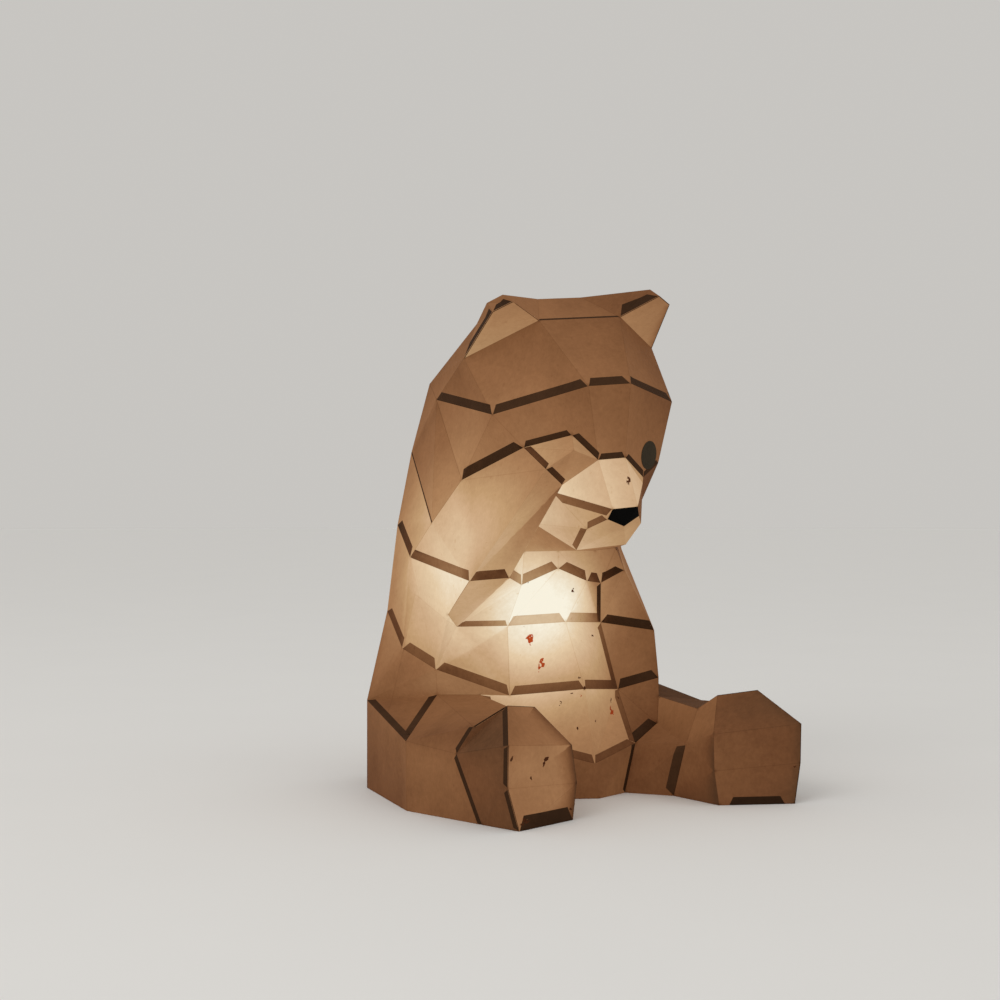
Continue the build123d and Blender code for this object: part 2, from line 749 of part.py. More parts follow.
def base_pad():
    """Foam pad under the foot, with holes round the screw heads."""
    pad = disc(BASE_DIAMETER - 2 * PAD_RIM, PAD_THICKNESS, 0)
    return pad - SCREW_PLACES * disc(SCREW_HEAD_DIAMETER + 2 * PAD_HOLE_CLEARANCE, PAD_THICKNESS, 0)


def base_plate():
    """Sheet that closes the foot from below."""
    diameter = BASE_DIAMETER - 2 * BASE_WALL - 2 * PLATE_CLEARANCE
    plate = disc(diameter, PLATE_THICKNESS, PLATE_Z)
    return plate - SCREW_PLACES * disc(SCREW_DIAMETER + 2 * PLATE_CLEARANCE, PLATE_THICKNESS, PLATE_Z)


def base_screws():
    """Pan head screws that hold the plate to the bosses of the cup."""
    head = disc(SCREW_HEAD_DIAMETER, SCREW_HEAD_HEIGHT, PLATE_Z - SCREW_HEAD_HEIGHT)
    screw = head + disc(SCREW_DIAMETER, SCREW_LENGTH, PLATE_Z)
    return Compound(children=[place * screw for place in SCREW_PLACES])


def base_cup():
    """Spun steel foot with a rounded shoulder, screw bosses and holes for stem, switch and cord bush."""
    outer = disc(BASE_DIAMETER, BASE_HEIGHT, PAD_THICKNESS)
    outer = fillet(outer.edges().group_by(Axis.Z)[-1], BASE_EDGE_RADIUS)
    inner = disc(BASE_DIAMETER - 2 * BASE_WALL, BASE_HEIGHT - BASE_WALL, PAD_THICKNESS)
    inner = fillet(inner.edges().group_by(Axis.Z)[-1], BASE_EDGE_RADIUS - BASE_WALL)
    boss = disc(BOSS_DIAMETER, CUP_TOP_Z - BASE_WALL / 2 - BOSS_Z, BOSS_Z)
    cup = outer - inner + SCREW_PLACES * boss
    cup -= SCREW_PLACES * disc(SCREW_DIAMETER, SCREW_LENGTH + 1, PLATE_Z)
    cup -= disc(STEM_DIAMETER + 2 * STEM_CLEARANCE, BASE_HEIGHT, PAD_THICKNESS)
    window_length = SWITCH_LENGTH + 2 * PLATE_CLEARANCE
    window_width = SWITCH_WIDTH + 2 * PLATE_CLEARANCE
    cup -= box_at(window_length, window_width, 2 * BASE_WALL, 0, SWITCH_Y, CUP_TOP_Z - 1.5 * BASE_WALL)
    bush_hole = Pos(0, BASE_DIAMETER / 2, BUSH_Z) * Rot(90, 0, 0) * Cylinder(BUSH_DIAMETER / 2, 4 * BASE_WALL)
    return cup - bush_hole


def ballast():
    """Cast ring on the plate that keeps the stand upright."""
    return tube(BALLAST_DIAMETER, BALLAST_BORE, BALLAST_HEIGHT, BOSS_Z)


def cord_bush():
    """Grommet in the rear wall of the foot, bored for the lamp's flex."""
    length = BUSH_FLANGE + BASE_WALL + BUSH_TAIL
    sleeve = Cylinder(BUSH_DIAMETER / 2, length, align=(Align.CENTER, Align.CENTER, Align.MAX))
    flange = Cylinder(BUSH_FLANGE_DIAMETER / 2, BUSH_FLANGE, align=(Align.CENTER, Align.CENTER, Align.MAX))
    flange = fillet(flange.edges().group_by(Axis.Z)[-1], BUSH_FLANGE / 3)
    bore = Cylinder(BUSH_BORE / 2, 3 * length)
    return Pos(0, BASE_DIAMETER / 2 + BUSH_FLANGE, BUSH_Z) * Rot(-90, 0, 0) * (sleeve + flange - bore)


def stem_tube():
    """Threaded lamp pipe."""
    return tube(STEM_DIAMETER, STEM_BORE, STEM_LENGTH, STEM_Z)


def stem_nuts():
    """Hexagon nuts that clamp the foot, one below and one above its top."""
    bore = STEM_DIAMETER / 2 + STEM_CLEARANCE
    outline = RegularPolygon(NUT_ACROSS_FLATS / 2, 6, major_radius=False) - Circle(bore)
    nut = extrude(outline, NUT_HEIGHT)
    return Compound(children=[Pos(0, 0, CUP_CEILING_Z - NUT_HEIGHT) * nut, Pos(0, 0, CUP_TOP_Z) * nut])


def holder_cap():
    """Lower half of the lampholder, screwed on the pipe."""
    radius = HOLDER_DIAMETER / 2
    throat = STEM_DIAMETER / 2 + STEM_CLEARANCE
    hub = throat + 2 * HOLDER_WALL
    top = HOLDER_Z + HOLDER_CAP_HEIGHT
    return turned(
        (throat, HOLDER_Z),
        (hub, HOLDER_Z),
        (radius, HOLDER_Z + HOLDER_GRIP),
        (radius, top),
        (radius - HOLDER_WALL, top),
        (radius - HOLDER_WALL, HOLDER_Z + HOLDER_GRIP + HOLDER_WALL),
        (hub, HOLDER_Z + HOLDER_GRIP),
        (throat, HOLDER_Z + HOLDER_GRIP),
    )


def holder_shell():
    """Upper half of the lampholder, a ribbed tube with an inturned rim."""
    radius = HOLDER_DIAMETER / 2
    shell = tube(HOLDER_DIAMETER, HOLDER_DIAMETER - 2 * HOLDER_WALL, HOLDER_SHELL_HEIGHT, SHELL_Z)
    groove = tube(HOLDER_DIAMETER + 1, HOLDER_DIAMETER - HOLDER_WALL, HOLDER_WALL, 0)
    for step in (0.3, 0.5, 0.7):
        shell -= Pos(0, 0, SHELL_Z + step * HOLDER_SHELL_HEIGHT) * groove
    rim = turned(
        (radius - HOLDER_WALL - HOLDER_RIM, SHELL_Z + HOLDER_SHELL_HEIGHT - HOLDER_WALL),
        (radius - HOLDER_WALL / 2, SHELL_Z + HOLDER_SHELL_HEIGHT - HOLDER_WALL),
        (radius - HOLDER_WALL / 2, SHELL_Z + HOLDER_SHELL_HEIGHT),
        (radius - HOLDER_WALL - HOLDER_RIM, SHELL_Z + HOLDER_SHELL_HEIGHT),
    )
    return shell + rim


def holder_core():
    """Insulating disc that carries the screw shell and the contact."""
    return disc(HOLDER_DIAMETER - 2 * HOLDER_WALL - 2 * CORE_CLEARANCE, CORE_HEIGHT, SHELL_Z)


def screw_shell():
    """Brass sleeve that takes the bulb's cap."""
    bore = BULB_CAP_DIAMETER + 2 * BULB_THREAD_CLEARANCE
    return tube(bore + 2 * SCREW_SHELL_WALL, bore, SCREW_SHELL_HEIGHT, CONTACT_Z)


def centre_contact():
    return disc(CONTACT_DIAMETER, CONTACT_HEIGHT, CONTACT_Z)


def bulb_tip():
    """Solder tip on its insulating cone, under the cap."""
    return turned(
        (0, BULB_Z),
        (CONTACT_DIAMETER / 2, BULB_Z),
        (BULB_CAP_DIAMETER / 2 - 1, BULB_CAP_Z),
        (0, BULB_CAP_Z),
    )


def bulb_cap():
    """Screw cap with rolled thread ridges."""
    crest = BULB_CAP_DIAMETER / 2
    root = crest - THREAD_DEPTH
    turns = int(BULB_CAP_LENGTH / THREAD_PITCH)
    points = [(0, BULB_CAP_Z), (root, BULB_CAP_Z)]
    for turn in range(turns):
        foot = BULB_CAP_Z + turn * THREAD_PITCH
        points.append((crest, foot + THREAD_PITCH / 2))
        points.append((root, foot + THREAD_PITCH))
    if BULB_CAP_Z + turns * THREAD_PITCH < HOUSING_Z:
        points.append((root, HOUSING_Z))
    return turned(*points, (0, HOUSING_Z))


def bulb_housing():
    """Driver housing that flares from the cap to the globe's neck."""
    collar = BULB_CAP_DIAMETER / 2 + HOUSING_LIP
    return turned(
        (0, HOUSING_Z),
        (collar, HOUSING_Z),
        (collar, HOUSING_Z + HOUSING_COLLAR_HEIGHT),
        (GLOBE_NECK_DIAMETER / 2, NECK_Z - HOUSING_LIP),
        (GLOBE_NECK_DIAMETER / 2, NECK_Z),
        (0, NECK_Z),
    )


def led_board():
    return disc(LED_BOARD_DIAMETER, LED_BOARD_THICKNESS, NECK_Z)


def bulb_globe():
    """Opal globe, open at its neck."""
    globe = Sphere(GLOBE_DIAMETER / 2) - Sphere(GLOBE_DIAMETER / 2 - GLOBE_WALL)
    below = box_at(GLOBE_DIAMETER, GLOBE_DIAMETER, GLOBE_DIAMETER, 0, 0, -GLOBE_RISE - GLOBE_DIAMETER)
    return Pos(0, 0, GLOBE_Z) * (globe - below)


def switch_frame():
    """Snap-in switch body with a bezel, a pocket and two bearing holes."""
    body = box_at(SWITCH_LENGTH, SWITCH_WIDTH, SWITCH_DEPTH, 0, SWITCH_Y, CUP_TOP_Z - SWITCH_DEPTH)
    bezel = box_at(
        SWITCH_LENGTH + 2 * SWITCH_FLANGE,
        SWITCH_WIDTH + 2 * SWITCH_FLANGE,
        SWITCH_FLANGE_HEIGHT,
        0,
        SWITCH_Y,
        CUP_TOP_Z,
    )
    bezel = fillet(bezel.edges().filter_by(Axis.Z), SWITCH_FLANGE)
    pocket_z = CUP_TOP_Z - SWITCH_DEPTH + SWITCH_WALL
    pocket = box_at(POCKET_LENGTH, POCKET_WIDTH, 2 * SWITCH_DEPTH, 0, SWITCH_Y, pocket_z)
    bearing = Pos(0, SWITCH_Y, ROCKER_PIVOT_Z - ROCKER_PIN_DROP) * Rot(90, 0, 0) * Cylinder(
        ROCKER_PIN_DIAMETER / 2 + PIN_CLEARANCE, POCKET_WIDTH + 2 * ROCKER_PIN_LENGTH
    )
    return body + bezel - pocket - bearing


def switch_rocker():
    """Rocker with a dished top and two trunnion pins."""
    half = ROCKER_LENGTH / 2
    outline = Polyline(
        (-half, ROCKER_RISE),
        (0, ROCKER_RISE / 2),
        (half, ROCKER_RISE),
        (half, -ROCKER_RISE / 2),
        (0, -ROCKER_DEPTH),
        (-half, -ROCKER_RISE / 2),
        close=True,
    )
    pivot_z = ROCKER_PIVOT_Z - ROCKER_PIN_DROP
    face = Plane(origin=(0, SWITCH_Y, pivot_z), x_dir=(1, 0, 0), z_dir=(0, -1, 0)) * make_face(outline)
    body = extrude(face, ROCKER_WIDTH / 2, both=True)
    pins = Pos(0, SWITCH_Y, pivot_z) * Rot(90, 0, 0) * Cylinder(
        ROCKER_PIN_DIAMETER / 2, ROCKER_WIDTH + 2 * ROCKER_PIN_LENGTH
    )
    return body + pins


STAND = (
    base_pad,
    base_plate,
    base_screws,
    base_cup,
    ballast,
    cord_bush,
    stem_tube,
    stem_nuts,
    holder_cap,
    holder_shell,
    holder_core,
    screw_shell,
    centre_contact,
    bulb_tip,
    bulb_cap,
    bulb_housing,
    led_board,
    bulb_globe,
    switch_frame,
    switch_rocker,
)

os.makedirs("parts", exist_ok=True)
for sheet in SHEET_ORDER:
    export_step(paper_sheet(sheet), f"parts/{sheet}.step")
export_step(eye_disc(), "parts/left_eye.step")
for piece in STAND:
    export_step(piece(), f"parts/{piece.__name__}.step")
print("sheets", len(SHEET_ORDER), "stand pieces", len(STAND), "globe centre height", round(GLOBE_Z, 1))
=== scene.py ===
# %% [markdown]
# # A bear night light of folded paper
#
# The lamp is a loose paper shade, a seated bear that hides one eye behind its paw, over a small stand with
# a globe bulb. The packed model is the fixed frame: each sheet of the shade and each piece of the stand is
# a node at its real size. This lesson dresses that frame: it cuts fine paper meshes from the sheets, finds
# the glue tabs that show as dark bands when the bulb is lit, and gives every piece its own finish.

# %% Load the frame
import json
import math
from collections import Counter

import bmesh
import bpy
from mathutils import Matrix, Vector, geometry, kdtree, noise
from mathutils.bvhtree import BVHTree


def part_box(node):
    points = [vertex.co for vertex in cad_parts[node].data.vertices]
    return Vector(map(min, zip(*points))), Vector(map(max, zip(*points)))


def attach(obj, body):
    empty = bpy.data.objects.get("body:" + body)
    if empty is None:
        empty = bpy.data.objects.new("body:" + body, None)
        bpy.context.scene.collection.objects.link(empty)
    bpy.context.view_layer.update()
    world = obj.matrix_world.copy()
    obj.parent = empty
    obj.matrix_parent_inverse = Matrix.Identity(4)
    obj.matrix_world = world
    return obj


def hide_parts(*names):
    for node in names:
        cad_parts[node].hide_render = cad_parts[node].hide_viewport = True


MM = 0.001
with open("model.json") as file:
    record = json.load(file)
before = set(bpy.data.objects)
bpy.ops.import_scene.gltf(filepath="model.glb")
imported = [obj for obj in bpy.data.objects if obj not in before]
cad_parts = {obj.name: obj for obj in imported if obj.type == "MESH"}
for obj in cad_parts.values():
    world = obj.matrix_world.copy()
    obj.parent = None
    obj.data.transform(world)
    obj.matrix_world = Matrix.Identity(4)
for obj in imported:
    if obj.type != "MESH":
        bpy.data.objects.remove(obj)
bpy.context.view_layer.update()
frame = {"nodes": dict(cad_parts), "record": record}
bodies = frame["record"]["behaviour"]["bodies"]
sheets = [name for name in bodies["shade"] if name != "left_eye"]

# %% [markdown]
# ## The camera
#
# The camera stands level, at about half the bear's height, a good step away and to the bear's right. A
# level camera keeps upright edges upright, so the folds can be compared with the photograph line by line.

# %% Camera
CAMERA_YAW = math.radians(-28)
CAMERA_DISTANCE = 1540 * MM
CAMERA_SIDESTEP = -27.7 * MM
CAMERA_HEIGHT = 245.5 * MM
CAMERA_LENS = 63
LEVEL = math.radians(90)

scene = bpy.context.scene
ahead = Vector((-math.sin(CAMERA_YAW), math.cos(CAMERA_YAW), 0))
aside = Vector((math.cos(CAMERA_YAW), math.sin(CAMERA_YAW), 0))


def add_object(name, data):
    """A new object in the scene."""
    made = bpy.data.objects.new(name, data)
    scene.collection.objects.link(made)
    return made


camera_data = bpy.data.cameras.new("camera")
camera_data.lens = CAMERA_LENS
camera = add_object("camera", camera_data)
camera.location = aside * CAMERA_SIDESTEP - ahead * CAMERA_DISTANCE + Vector((0, 0, CAMERA_HEIGHT))
camera.rotation_euler = (LEVEL, 0, CAMERA_YAW)
scene.camera = camera
print("camera at", [round(x, 3) for x in camera.location])

# %% [markdown]
# ## Reading the paper sheets
#
# Each sheet is a closed solid one paper thick, with tabs folded inside. To work on its faces, all sheets
# go into one list of triangles. Vertices at the same place become one corner, also across sheets, because
# two glued sheets share the corners of their seam.

# %% Triangles and shared corners
WELD = 0.02 * MM

places = []
triangles = []
triangle_sheet = []
for name in sheets:
    mesh = frame["nodes"][name].data
    mesh.calc_loop_triangles()
    first = len(places)
    places += [vertex.co.copy() for vertex in mesh.vertices]
    for triangle in mesh.loop_triangles:
        triangles.append([first + i for i in triangle.vertices])
        triangle_sheet.append(name)

finder = kdtree.KDTree(len(places))
for i, place in enumerate(places):
    finder.insert(place, i)
finder.balance()
corner_of = [min(found[1] for found in finder.find_range(place, WELD)) for place in places]
triangles = [[corner_of[i] for i in triangle] for triangle in triangles]
normals = [geometry.normal([places[i] for i in triangle]) for triangle in triangles]
middles = [sum((places[i] for i in triangle), Vector()) / 3 for triangle in triangles]
print("triangles", len(triangles), "corners", len(set(corner_of)))

# %% [markdown]
# ## Which faces are the outside
#
# A sheet has an outer face, an inner face, cut edges and tabs. Only outer faces use the outer corners,
# apart from the cut edges, which are narrow or meet a twin on the next sheet. So the outside is found by
# walking: the bear's highest corner is surely outside, and from there the walk goes on over every edge to
# the next panel.

# %% Outside faces
NARROW = 1.0 * MM


def round_trip(row):
    """Each item of a closed row with the next one."""
    return list(zip(row, row[1:] + row[:1]))


def height_of(i):
    """The least height of a triangle."""
    a, b, c = corners = [places[corner] for corner in triangles[i]]
    longest = max((end - start).length for start, end in round_trip(corners))
    return (b - a).cross(c - a).length / longest


def edges_of(i):
    """The three edges of a triangle, each as a pair of corners in no order."""
    return [frozenset(edge) for edge in round_trip(triangles[i])]


def by_edge(members):
    """The triangles at each edge, out of the given ones."""
    found = {}
    for i in members:
        for edge in edges_of(i):
            found.setdefault(edge, []).append(i)
    return found


twins = Counter(frozenset(triangle) for triangle in triangles)
wide_at = by_edge(i for i, triangle in enumerate(triangles)
                  if height_of(i) > NARROW and twins[frozenset(triangle)] == 1)
highest = max(set(corner_of), key=lambda corner: places[corner].z)
waiting = [i for edge, found in wide_at.items() if highest in edge for i in found]
outside = set()
while waiting:
    i = waiting.pop()
    if i not in outside:
        outside.add(i)
        waiting += [j for edge in edges_of(i) for j in wide_at[edge]]
outside = sorted(outside)
print("outside triangles", len(outside), "of", len(triangles))

# %% [markdown]
# ## Panels, folds and seams
#
# Triangles of one sheet that lie in one plane are one panel. An edge between two panels of a sheet is a
# fold. An edge between two sheets is a seam, where one sheet's tab is glued under the other. What is left
# over is the open hem round the bottom, and the gate for the lamp's flex at the back.

# %% Panels
IN_PLANE = math.radians(0.5)


def flat_group(start, table):
    """The triangles of one sheet that lie in one plane round the first one."""
    group = []
    waiting = [start]
    while waiting:
        i = waiting.pop()
        if i not in group:
            group.append(i)
            near = [j for edge in edges_of(i) for j in table[edge]]
            near = [j for j in near if triangle_sheet[j] == triangle_sheet[start]]
            waiting += [j for j in near if normals[j].angle(normals[start], 1) < IN_PLANE]
    return group


def outline_of(group, table):
    """The corners round a flat group in order, anticlockwise seen from its front."""
    following = {}
    for i in group:
        for a, b in round_trip(triangles[i]):
            if not any(j in group and j != i for j in table[frozenset((a, b))]):
                following[a] = b
    outline = [min(following)]
    while following[outline[-1]] != outline[0]:
        outline.append(following[outline[-1]])
    return outline


outside_at = by_edge(outside)
panels = []
panel_of = {}
for i in outside:
    if i not in panel_of:
        group = flat_group(i, outside_at)
        panel = {"sheet": triangle_sheet[i], "outline": outline_of(group, outside_at), "normal": normals[i]}
        panels.append(panel)
        panel_of.update(dict.fromkeys(group, panel))
print("panels", len(panels), "with most corners", max(len(panel["outline"]) for panel in panels))

# %% [markdown]
# ## Glue tabs
#
# A glue tab lies against the inside of the next sheet, with only a film of glue between. Two layers of
# paper let less light through, so a lit shade shows each tab as a dark band with slanted ends. The tabs
# are in the frame already: a tab's face has another sheet's inner face close above it and that sheet's
# outside just beyond.

# %% Find the tabs
TINY = 0.004 * MM
GLUE_REACH = 0.15 * MM
PAPER_REACH = 0.8 * MM

paper_tree = BVHTree.FromPolygons(places, triangles)
faces_at = by_edge(range(len(triangles)))


def panel_above(i):
    """The panel that a tab's face lies under, or None for any other face."""
    if i in panel_of or height_of(i) < NARROW:
        return None
    glue = paper_tree.ray_cast(middles[i] + normals[i] * TINY, normals[i], GLUE_REACH)
    if glue[0] is None:
        return None
    beyond = paper_tree.ray_cast(glue[0] + normals[i] * TINY, normals[i], PAPER_REACH)
    return panel_of.get(beyond[2])


tabs = []
seen = set()
for i in range(len(triangles)):
    above = panel_above(i)
    if i in seen or above is None:
        continue
    group = flat_group(i, faces_at)
    seen.update(group)
    rim = [places[corner] for corner in outline_of(group, faces_at)]
    tabs.append({"owner": triangle_sheet[i], "under": above["sheet"], "rim": rim,
                 "middle": sum(rim, Vector()) / len(rim)})
print("tabs", len(tabs), "turned hems", sum(tab["owner"] == tab["under"] for tab in tabs))

# %% [markdown]
# ## A fine mesh for every panel
#
# A flat panel needs more points before it can bend, carry a soft fold or hold a crisp band. Each panel is
# laid flat in its own plane and triangulated with Blender's Delaunay tool. It gets points along its edges,
# a second row close behind them for the fold, an even field of points inside, and the outlines of the tabs
# under it. Lengths in the plane are in millimetres.

# %% Lay a panel flat
EDGE_STEP = 4.0


def edge_points(a, b):
    """Evenly spaced points from corner a up to corner b, the same for both panels at the edge."""
    low, high = sorted((a, b))
    count = max(1, round((places[high] - places[low]).length / MM / EDGE_STEP))
    row = [places[low].lerp(places[high], k / count) for k in range(count + 1)]
    return row[:-1] if low == a else row[:0:-1]


def lay_flat(panel):
    """Give the panel a plane: its origin, two directions and its outline in millimetres."""
    outline = [places[corner] for corner in panel["outline"]]
    panel["origin"] = outline[0]
    panel["x"] = (outline[1] - outline[0]).normalized()
    panel["y"] = panel["normal"].cross(panel["x"])
    panel["flat"] = [to_flat(panel, place) for place in outline]


def to_flat(panel, place):
    """A place, as a point in the panel's plane."""
    reach = (place - panel["origin"]) / MM
    return Vector((reach.dot(panel["x"]), reach.dot(panel["y"])))


def to_place(panel, point):
    """A point in the panel's plane, back in space."""
    return panel["origin"] + (panel["x"] * point.x + panel["y"] * point.y) * MM


def outline_edges(panel):
    """The outline's edges as pairs of corners."""
    return round_trip(panel["outline"])


def flat_edges(panel):
    """The outline's edges as start, unit direction and length."""
    return [(a, (b - a).normalized(), (b - a).length) for a, b in round_trip(panel["flat"])]


def left_of(way):
    """The flat direction square to an edge, which points into the panel."""
    return Vector((-way.y, way.x))


def inset_of(panel, point):
    """How far a flat point lies inside the nearest edge of its panel."""
    nearest = math.inf
    for start, way, length in flat_edges(panel):
        reach = point - start
        along = min(max(reach.dot(way), 0), length)
        nearest = min(nearest, (reach - way * along).length)
    return nearest


def is_in(panel, point):
    """True for a flat point inside the outline."""
    inside = False
    for a, b in round_trip(panel["flat"]):
        if (a.y > point.y) != (b.y > point.y):
            inside ^= point.x < a.x + (point.y - a.y) * (b.x - a.x) / (b.y - a.y)
    return inside


for panel in panels:
    lay_flat(panel)
longest = max(length for panel in panels for start, way, length in flat_edges(panel))
print("longest edge", round(longest, 1), "mm")

# %% [markdown]
# ## Bands over the tabs
#
# A tab runs along its seam from corner to corner, and its ends are cut at a slant. The sheet that covers
# it shows this shape as a dark band. Some seams show no band, because their edges are butted and taped
# from within, and one on the back is so narrow that only a dark line is left. These seams are named here
# by their two sheets, and so are those whose tab is wider, narrower, shorter, darker or paler than most.
# Along some seams only the long edges have a tab, and one edge at the right ear has none.

# %% Seams by name


def seams(text):
    """Seams written as first/second, as pairs of sheets in no order."""
    return [set(seam.split("/")) for seam in text.split()]


SEAM_WIDTHS = {
    0: seams("""
        neck_right/face neck_left/face forehead/head_back head_back/crown neck_right/head_back
        neck_left/head_back forehead/right_ear_front forehead/left_ear_front right_forearm/neck_right
        back_upper/right_forearm right_forearm/throat neck/throat neck/right_forearm neck/neck_left
        throat/chin throat/right_muzzle_side right_upper_arm/belly_upper waist/belly_middle
        rump/belly_lower right_muzzle_side/right_forearm muzzle_top/left_muzzle_side left_leg/rump
        neck_left/left_muzzle_side chin/left_muzzle_side left_upper_arm/neck_left muzzle_top/right_paw
        left_leg/left_leg_inner left_sole/left_foot_inner"""),
    1.7: seams("back_upper/neck_right back_upper/neck_left"),
    2.5: seams("crown/forehead"),
    4.0: seams("""
        right_foot_outer/right_leg crotch/left_leg_inner face/left_muzzle_side
        belly_upper/left_upper_arm"""),
    5.0: seams("""
        face/right_paw face/muzzle_top right_forearm/right_paw chin/right_muzzle_side belly_lower/left_paw
        right_foot_outer/right_sole waist/right_upper_arm"""),
    6.5: seams("right_leg/rump belly_lower/crotch muzzle_top/right_muzzle_side left_sole/left_sole"),
    11.0: seams("right_sole/right_sole"),
    12.0: seams("crown/left_ear_front crown/right_ear_front")}
LONG_ONLY = seams("""
    waist/right_upper_arm right_leg/rump left_leg_inner/left_paw left_foot_inner/left_leg_inner""")
BARE_EDGES = [(-64, -106, 398)]
END_GAPS = {8.0: seams("left_sole/left_sole")}
SEAM_DARKNESS = {
    1.5: seams("left_sole/left_sole"),
    1.2: seams("""
        right_sole/right_sole right_foot_outer/right_sole right_foot_outer/right_leg crown/left_ear_front
        crown/right_ear_front"""),
    0.85: seams("""
        belly_middle/belly_upper muzzle_top/right_muzzle_side chin/right_muzzle_side
        belly_lower/belly_middle belly_middle/left_forearm rump/waist"""),
    0.75: seams("belly_lower/left_paw belly_lower/crotch left_foot_inner/left_leg_inner")}
print("seams with a width of their own", sum(len(row) for row in SEAM_WIDTHS.values()))

# %% Edges and their tabs
NEAR = 3 * MM


def pick(table, wanted, usual):
    """The key of the table whose row has what is wanted."""
    return next((key for key, row in table.items() if wanted in row), usual)


def sheets_at(a, b):
    """The sheets that meet at an edge between two corners."""
    return {triangle_sheet[i] for i in outside_at[frozenset((a, b))]}


def edge_middle(a, b):
    return (places[a] + places[b]) / 2


def is_one_of(a, b, points):
    """True for an edge whose middle is one of these points."""
    return any((edge_middle(a, b) - Vector(point) * MM).length < NEAR for point in points)


def is_fold(a, b):
    """True for an edge between two panels of one sheet."""
    return len(outside_at[frozenset((a, b))]) == 2 and len(sheets_at(a, b)) == 1


def tab_at(a, b):
    """The tab of an edge between two corners, or None."""
    middle = edge_middle(a, b)
    reach = (places[a] - places[b]).length
    near = [tab for tab in tabs if {tab["owner"], tab["under"]} == sheets_at(a, b)]
    near = [tab for tab in near if (tab["middle"] - middle).length < reach]
    return min(near, key=lambda tab: (tab["middle"] - middle).length, default=None)


print("folds", sum(is_fold(*edge) for panel in panels for edge in outline_edges(panel)) // 2)

# %% Bands
BAND_WIDTH = 8.0
BAND_SLANT = 0.6
MOST_SLANT = 0.3
BAND_OVERSHOOT = 1.0
LONG_SEAM = 45.0


def own_bands(panel):
    """The bands at the seams of a panel, each as its corners and its darkness."""
    bands = []
    for (a, b), (start, way, length) in zip(outline_edges(panel), flat_edges(panel)):
        pair = sheets_at(a, b)
        tab = None if is_fold(a, b) else tab_at(a, b)
        width = pick(SEAM_WIDTHS, pair, BAND_WIDTH)
        if pair in LONG_ONLY and length < LONG_SEAM or is_one_of(a, b, BARE_EDGES):
            continue
        if tab is None or tab["under"] != panel["sheet"] or width == 0:
            continue
        slant = min(BAND_SLANT * width, MOST_SLANT * length)
        gap = pick(END_GAPS, pair, 0)
        ends = [(gap, -BAND_OVERSHOOT), (length - gap, -BAND_OVERSHOOT),
                (length - gap - slant, width), (gap + slant, width)]
        corners = [start + way * along + left_of(way) * beyond for along, beyond in ends]
        bands.append((corners, pick(SEAM_DARKNESS, pair, 1.0)))
    return bands


def unfolded(panel, other, a, b, point):
    """A flat point of another panel, turned round their common fold into this panel's plane."""
    start, end = [to_flat(other, places[corner]) for corner in (a, b)]
    way = (end - start).normalized()
    along = (point - start).dot(way)
    beyond = way.cross(point - start)
    start, end = [to_flat(panel, places[corner]) for corner in (a, b)]
    way = (end - start).normalized()
    return start + way * along + left_of(way) * beyond


def bands_on(panel):
    """All bands that show on a panel: its own, and those that reach it over a fold."""
    bands = own_bands(panel)
    folds = {frozenset(edge): edge for edge in outline_edges(panel) if is_fold(*edge)}
    for other in panels:
        shared = [folds[frozenset(edge)] for edge in outline_edges(other) if frozenset(edge) in folds]
        if other is not panel and shared:
            for corners, dark in own_bands(other):
                bands.append(([unfolded(panel, other, *shared[0], corner) for corner in corners], dark))
    return bands


print("bands", sum(len(own_bands(panel)) for panel in panels), "of", len(tabs), "tabs")

# %% [markdown]
# ## Points and scored lines
#
# Before folding, a sheet is scored with a blunt blade. A few scored lines of the real bear cross a panel
# of the solids instead of following an edge. New solids would be a large change for a hairline, so these
# lines are drawn: each has two ends as the camera sees them, is carried onto the panels there, and becomes
# a row of mesh edges with a fold's second row on either side. It also has a sharpness, and a step of the
# light from one side to the other.

# %% Points of a panel
FOLD_ROW = 0.7
ROW_MARGIN = 0.9 * FOLD_ROW
FIELD_STEP = 7.0
FIELD_MARGIN = 2.5


def fold_row(panel):
    """The second row of points, just inside the edges and inside the corners."""
    row = []
    for (a, b), (start, way, length) in zip(outline_edges(panel), flat_edges(panel)):
        row += [to_flat(panel, place) + left_of(way) * FOLD_ROW for place in edge_points(a, b)[1:]]
    return [point for point in row if is_in(panel, point) and inset_of(panel, point) > ROW_MARGIN]


def field(panel):
    """An even field of points in a triangle pattern, clear of the edges."""
    xs = [point.x for point in panel["flat"]]
    ys = [point.y for point in panel["flat"]]
    points = []
    rise = FIELD_STEP * math.sqrt(3) / 2
    for row in range(int((max(ys) - min(ys)) / rise) + 1):
        for column in range(int((max(xs) - min(xs)) / FIELD_STEP) + 2):
            x = min(xs) + (column - 0.5 * (row % 2)) * FIELD_STEP
            point = Vector((x, min(ys) + (row + 0.5) * rise))
            if is_in(panel, point) and inset_of(panel, point) > FIELD_MARGIN:
                points.append(point)
    return points


print("points inside", sum(len(fold_row(panel)) + len(field(panel)) for panel in panels))

# %% Scored lines
FACES_CAMERA = -0.1
SHORTEST_SCORE = 2.0
SCORES = {
    "right_sole": [((-136, -209, 32), (-63, -187, 28), 0.9, 0)],
    "waist": [((-108, -29, 103), (-44, -41, 139), 0.4, 0.13),
              ((-117, -8, 166), (-96, -43, 141), 0.8, 0.05),
              ((-117, -8, 166), (-124, -1, 121), 0.8, 0.06)],
    "rump": [((-124, -1, 121), (-156, -34, 65), 0.9, 0)]}


def seen_on(panel, point):
    """A point in millimetres, carried along the level line of sight onto the panel's plane."""
    place = Vector(point) * MM
    depth = (panel["origin"] - place).dot(panel["normal"]) / ahead.dot(panel["normal"])
    return to_flat(panel, place + ahead * depth)


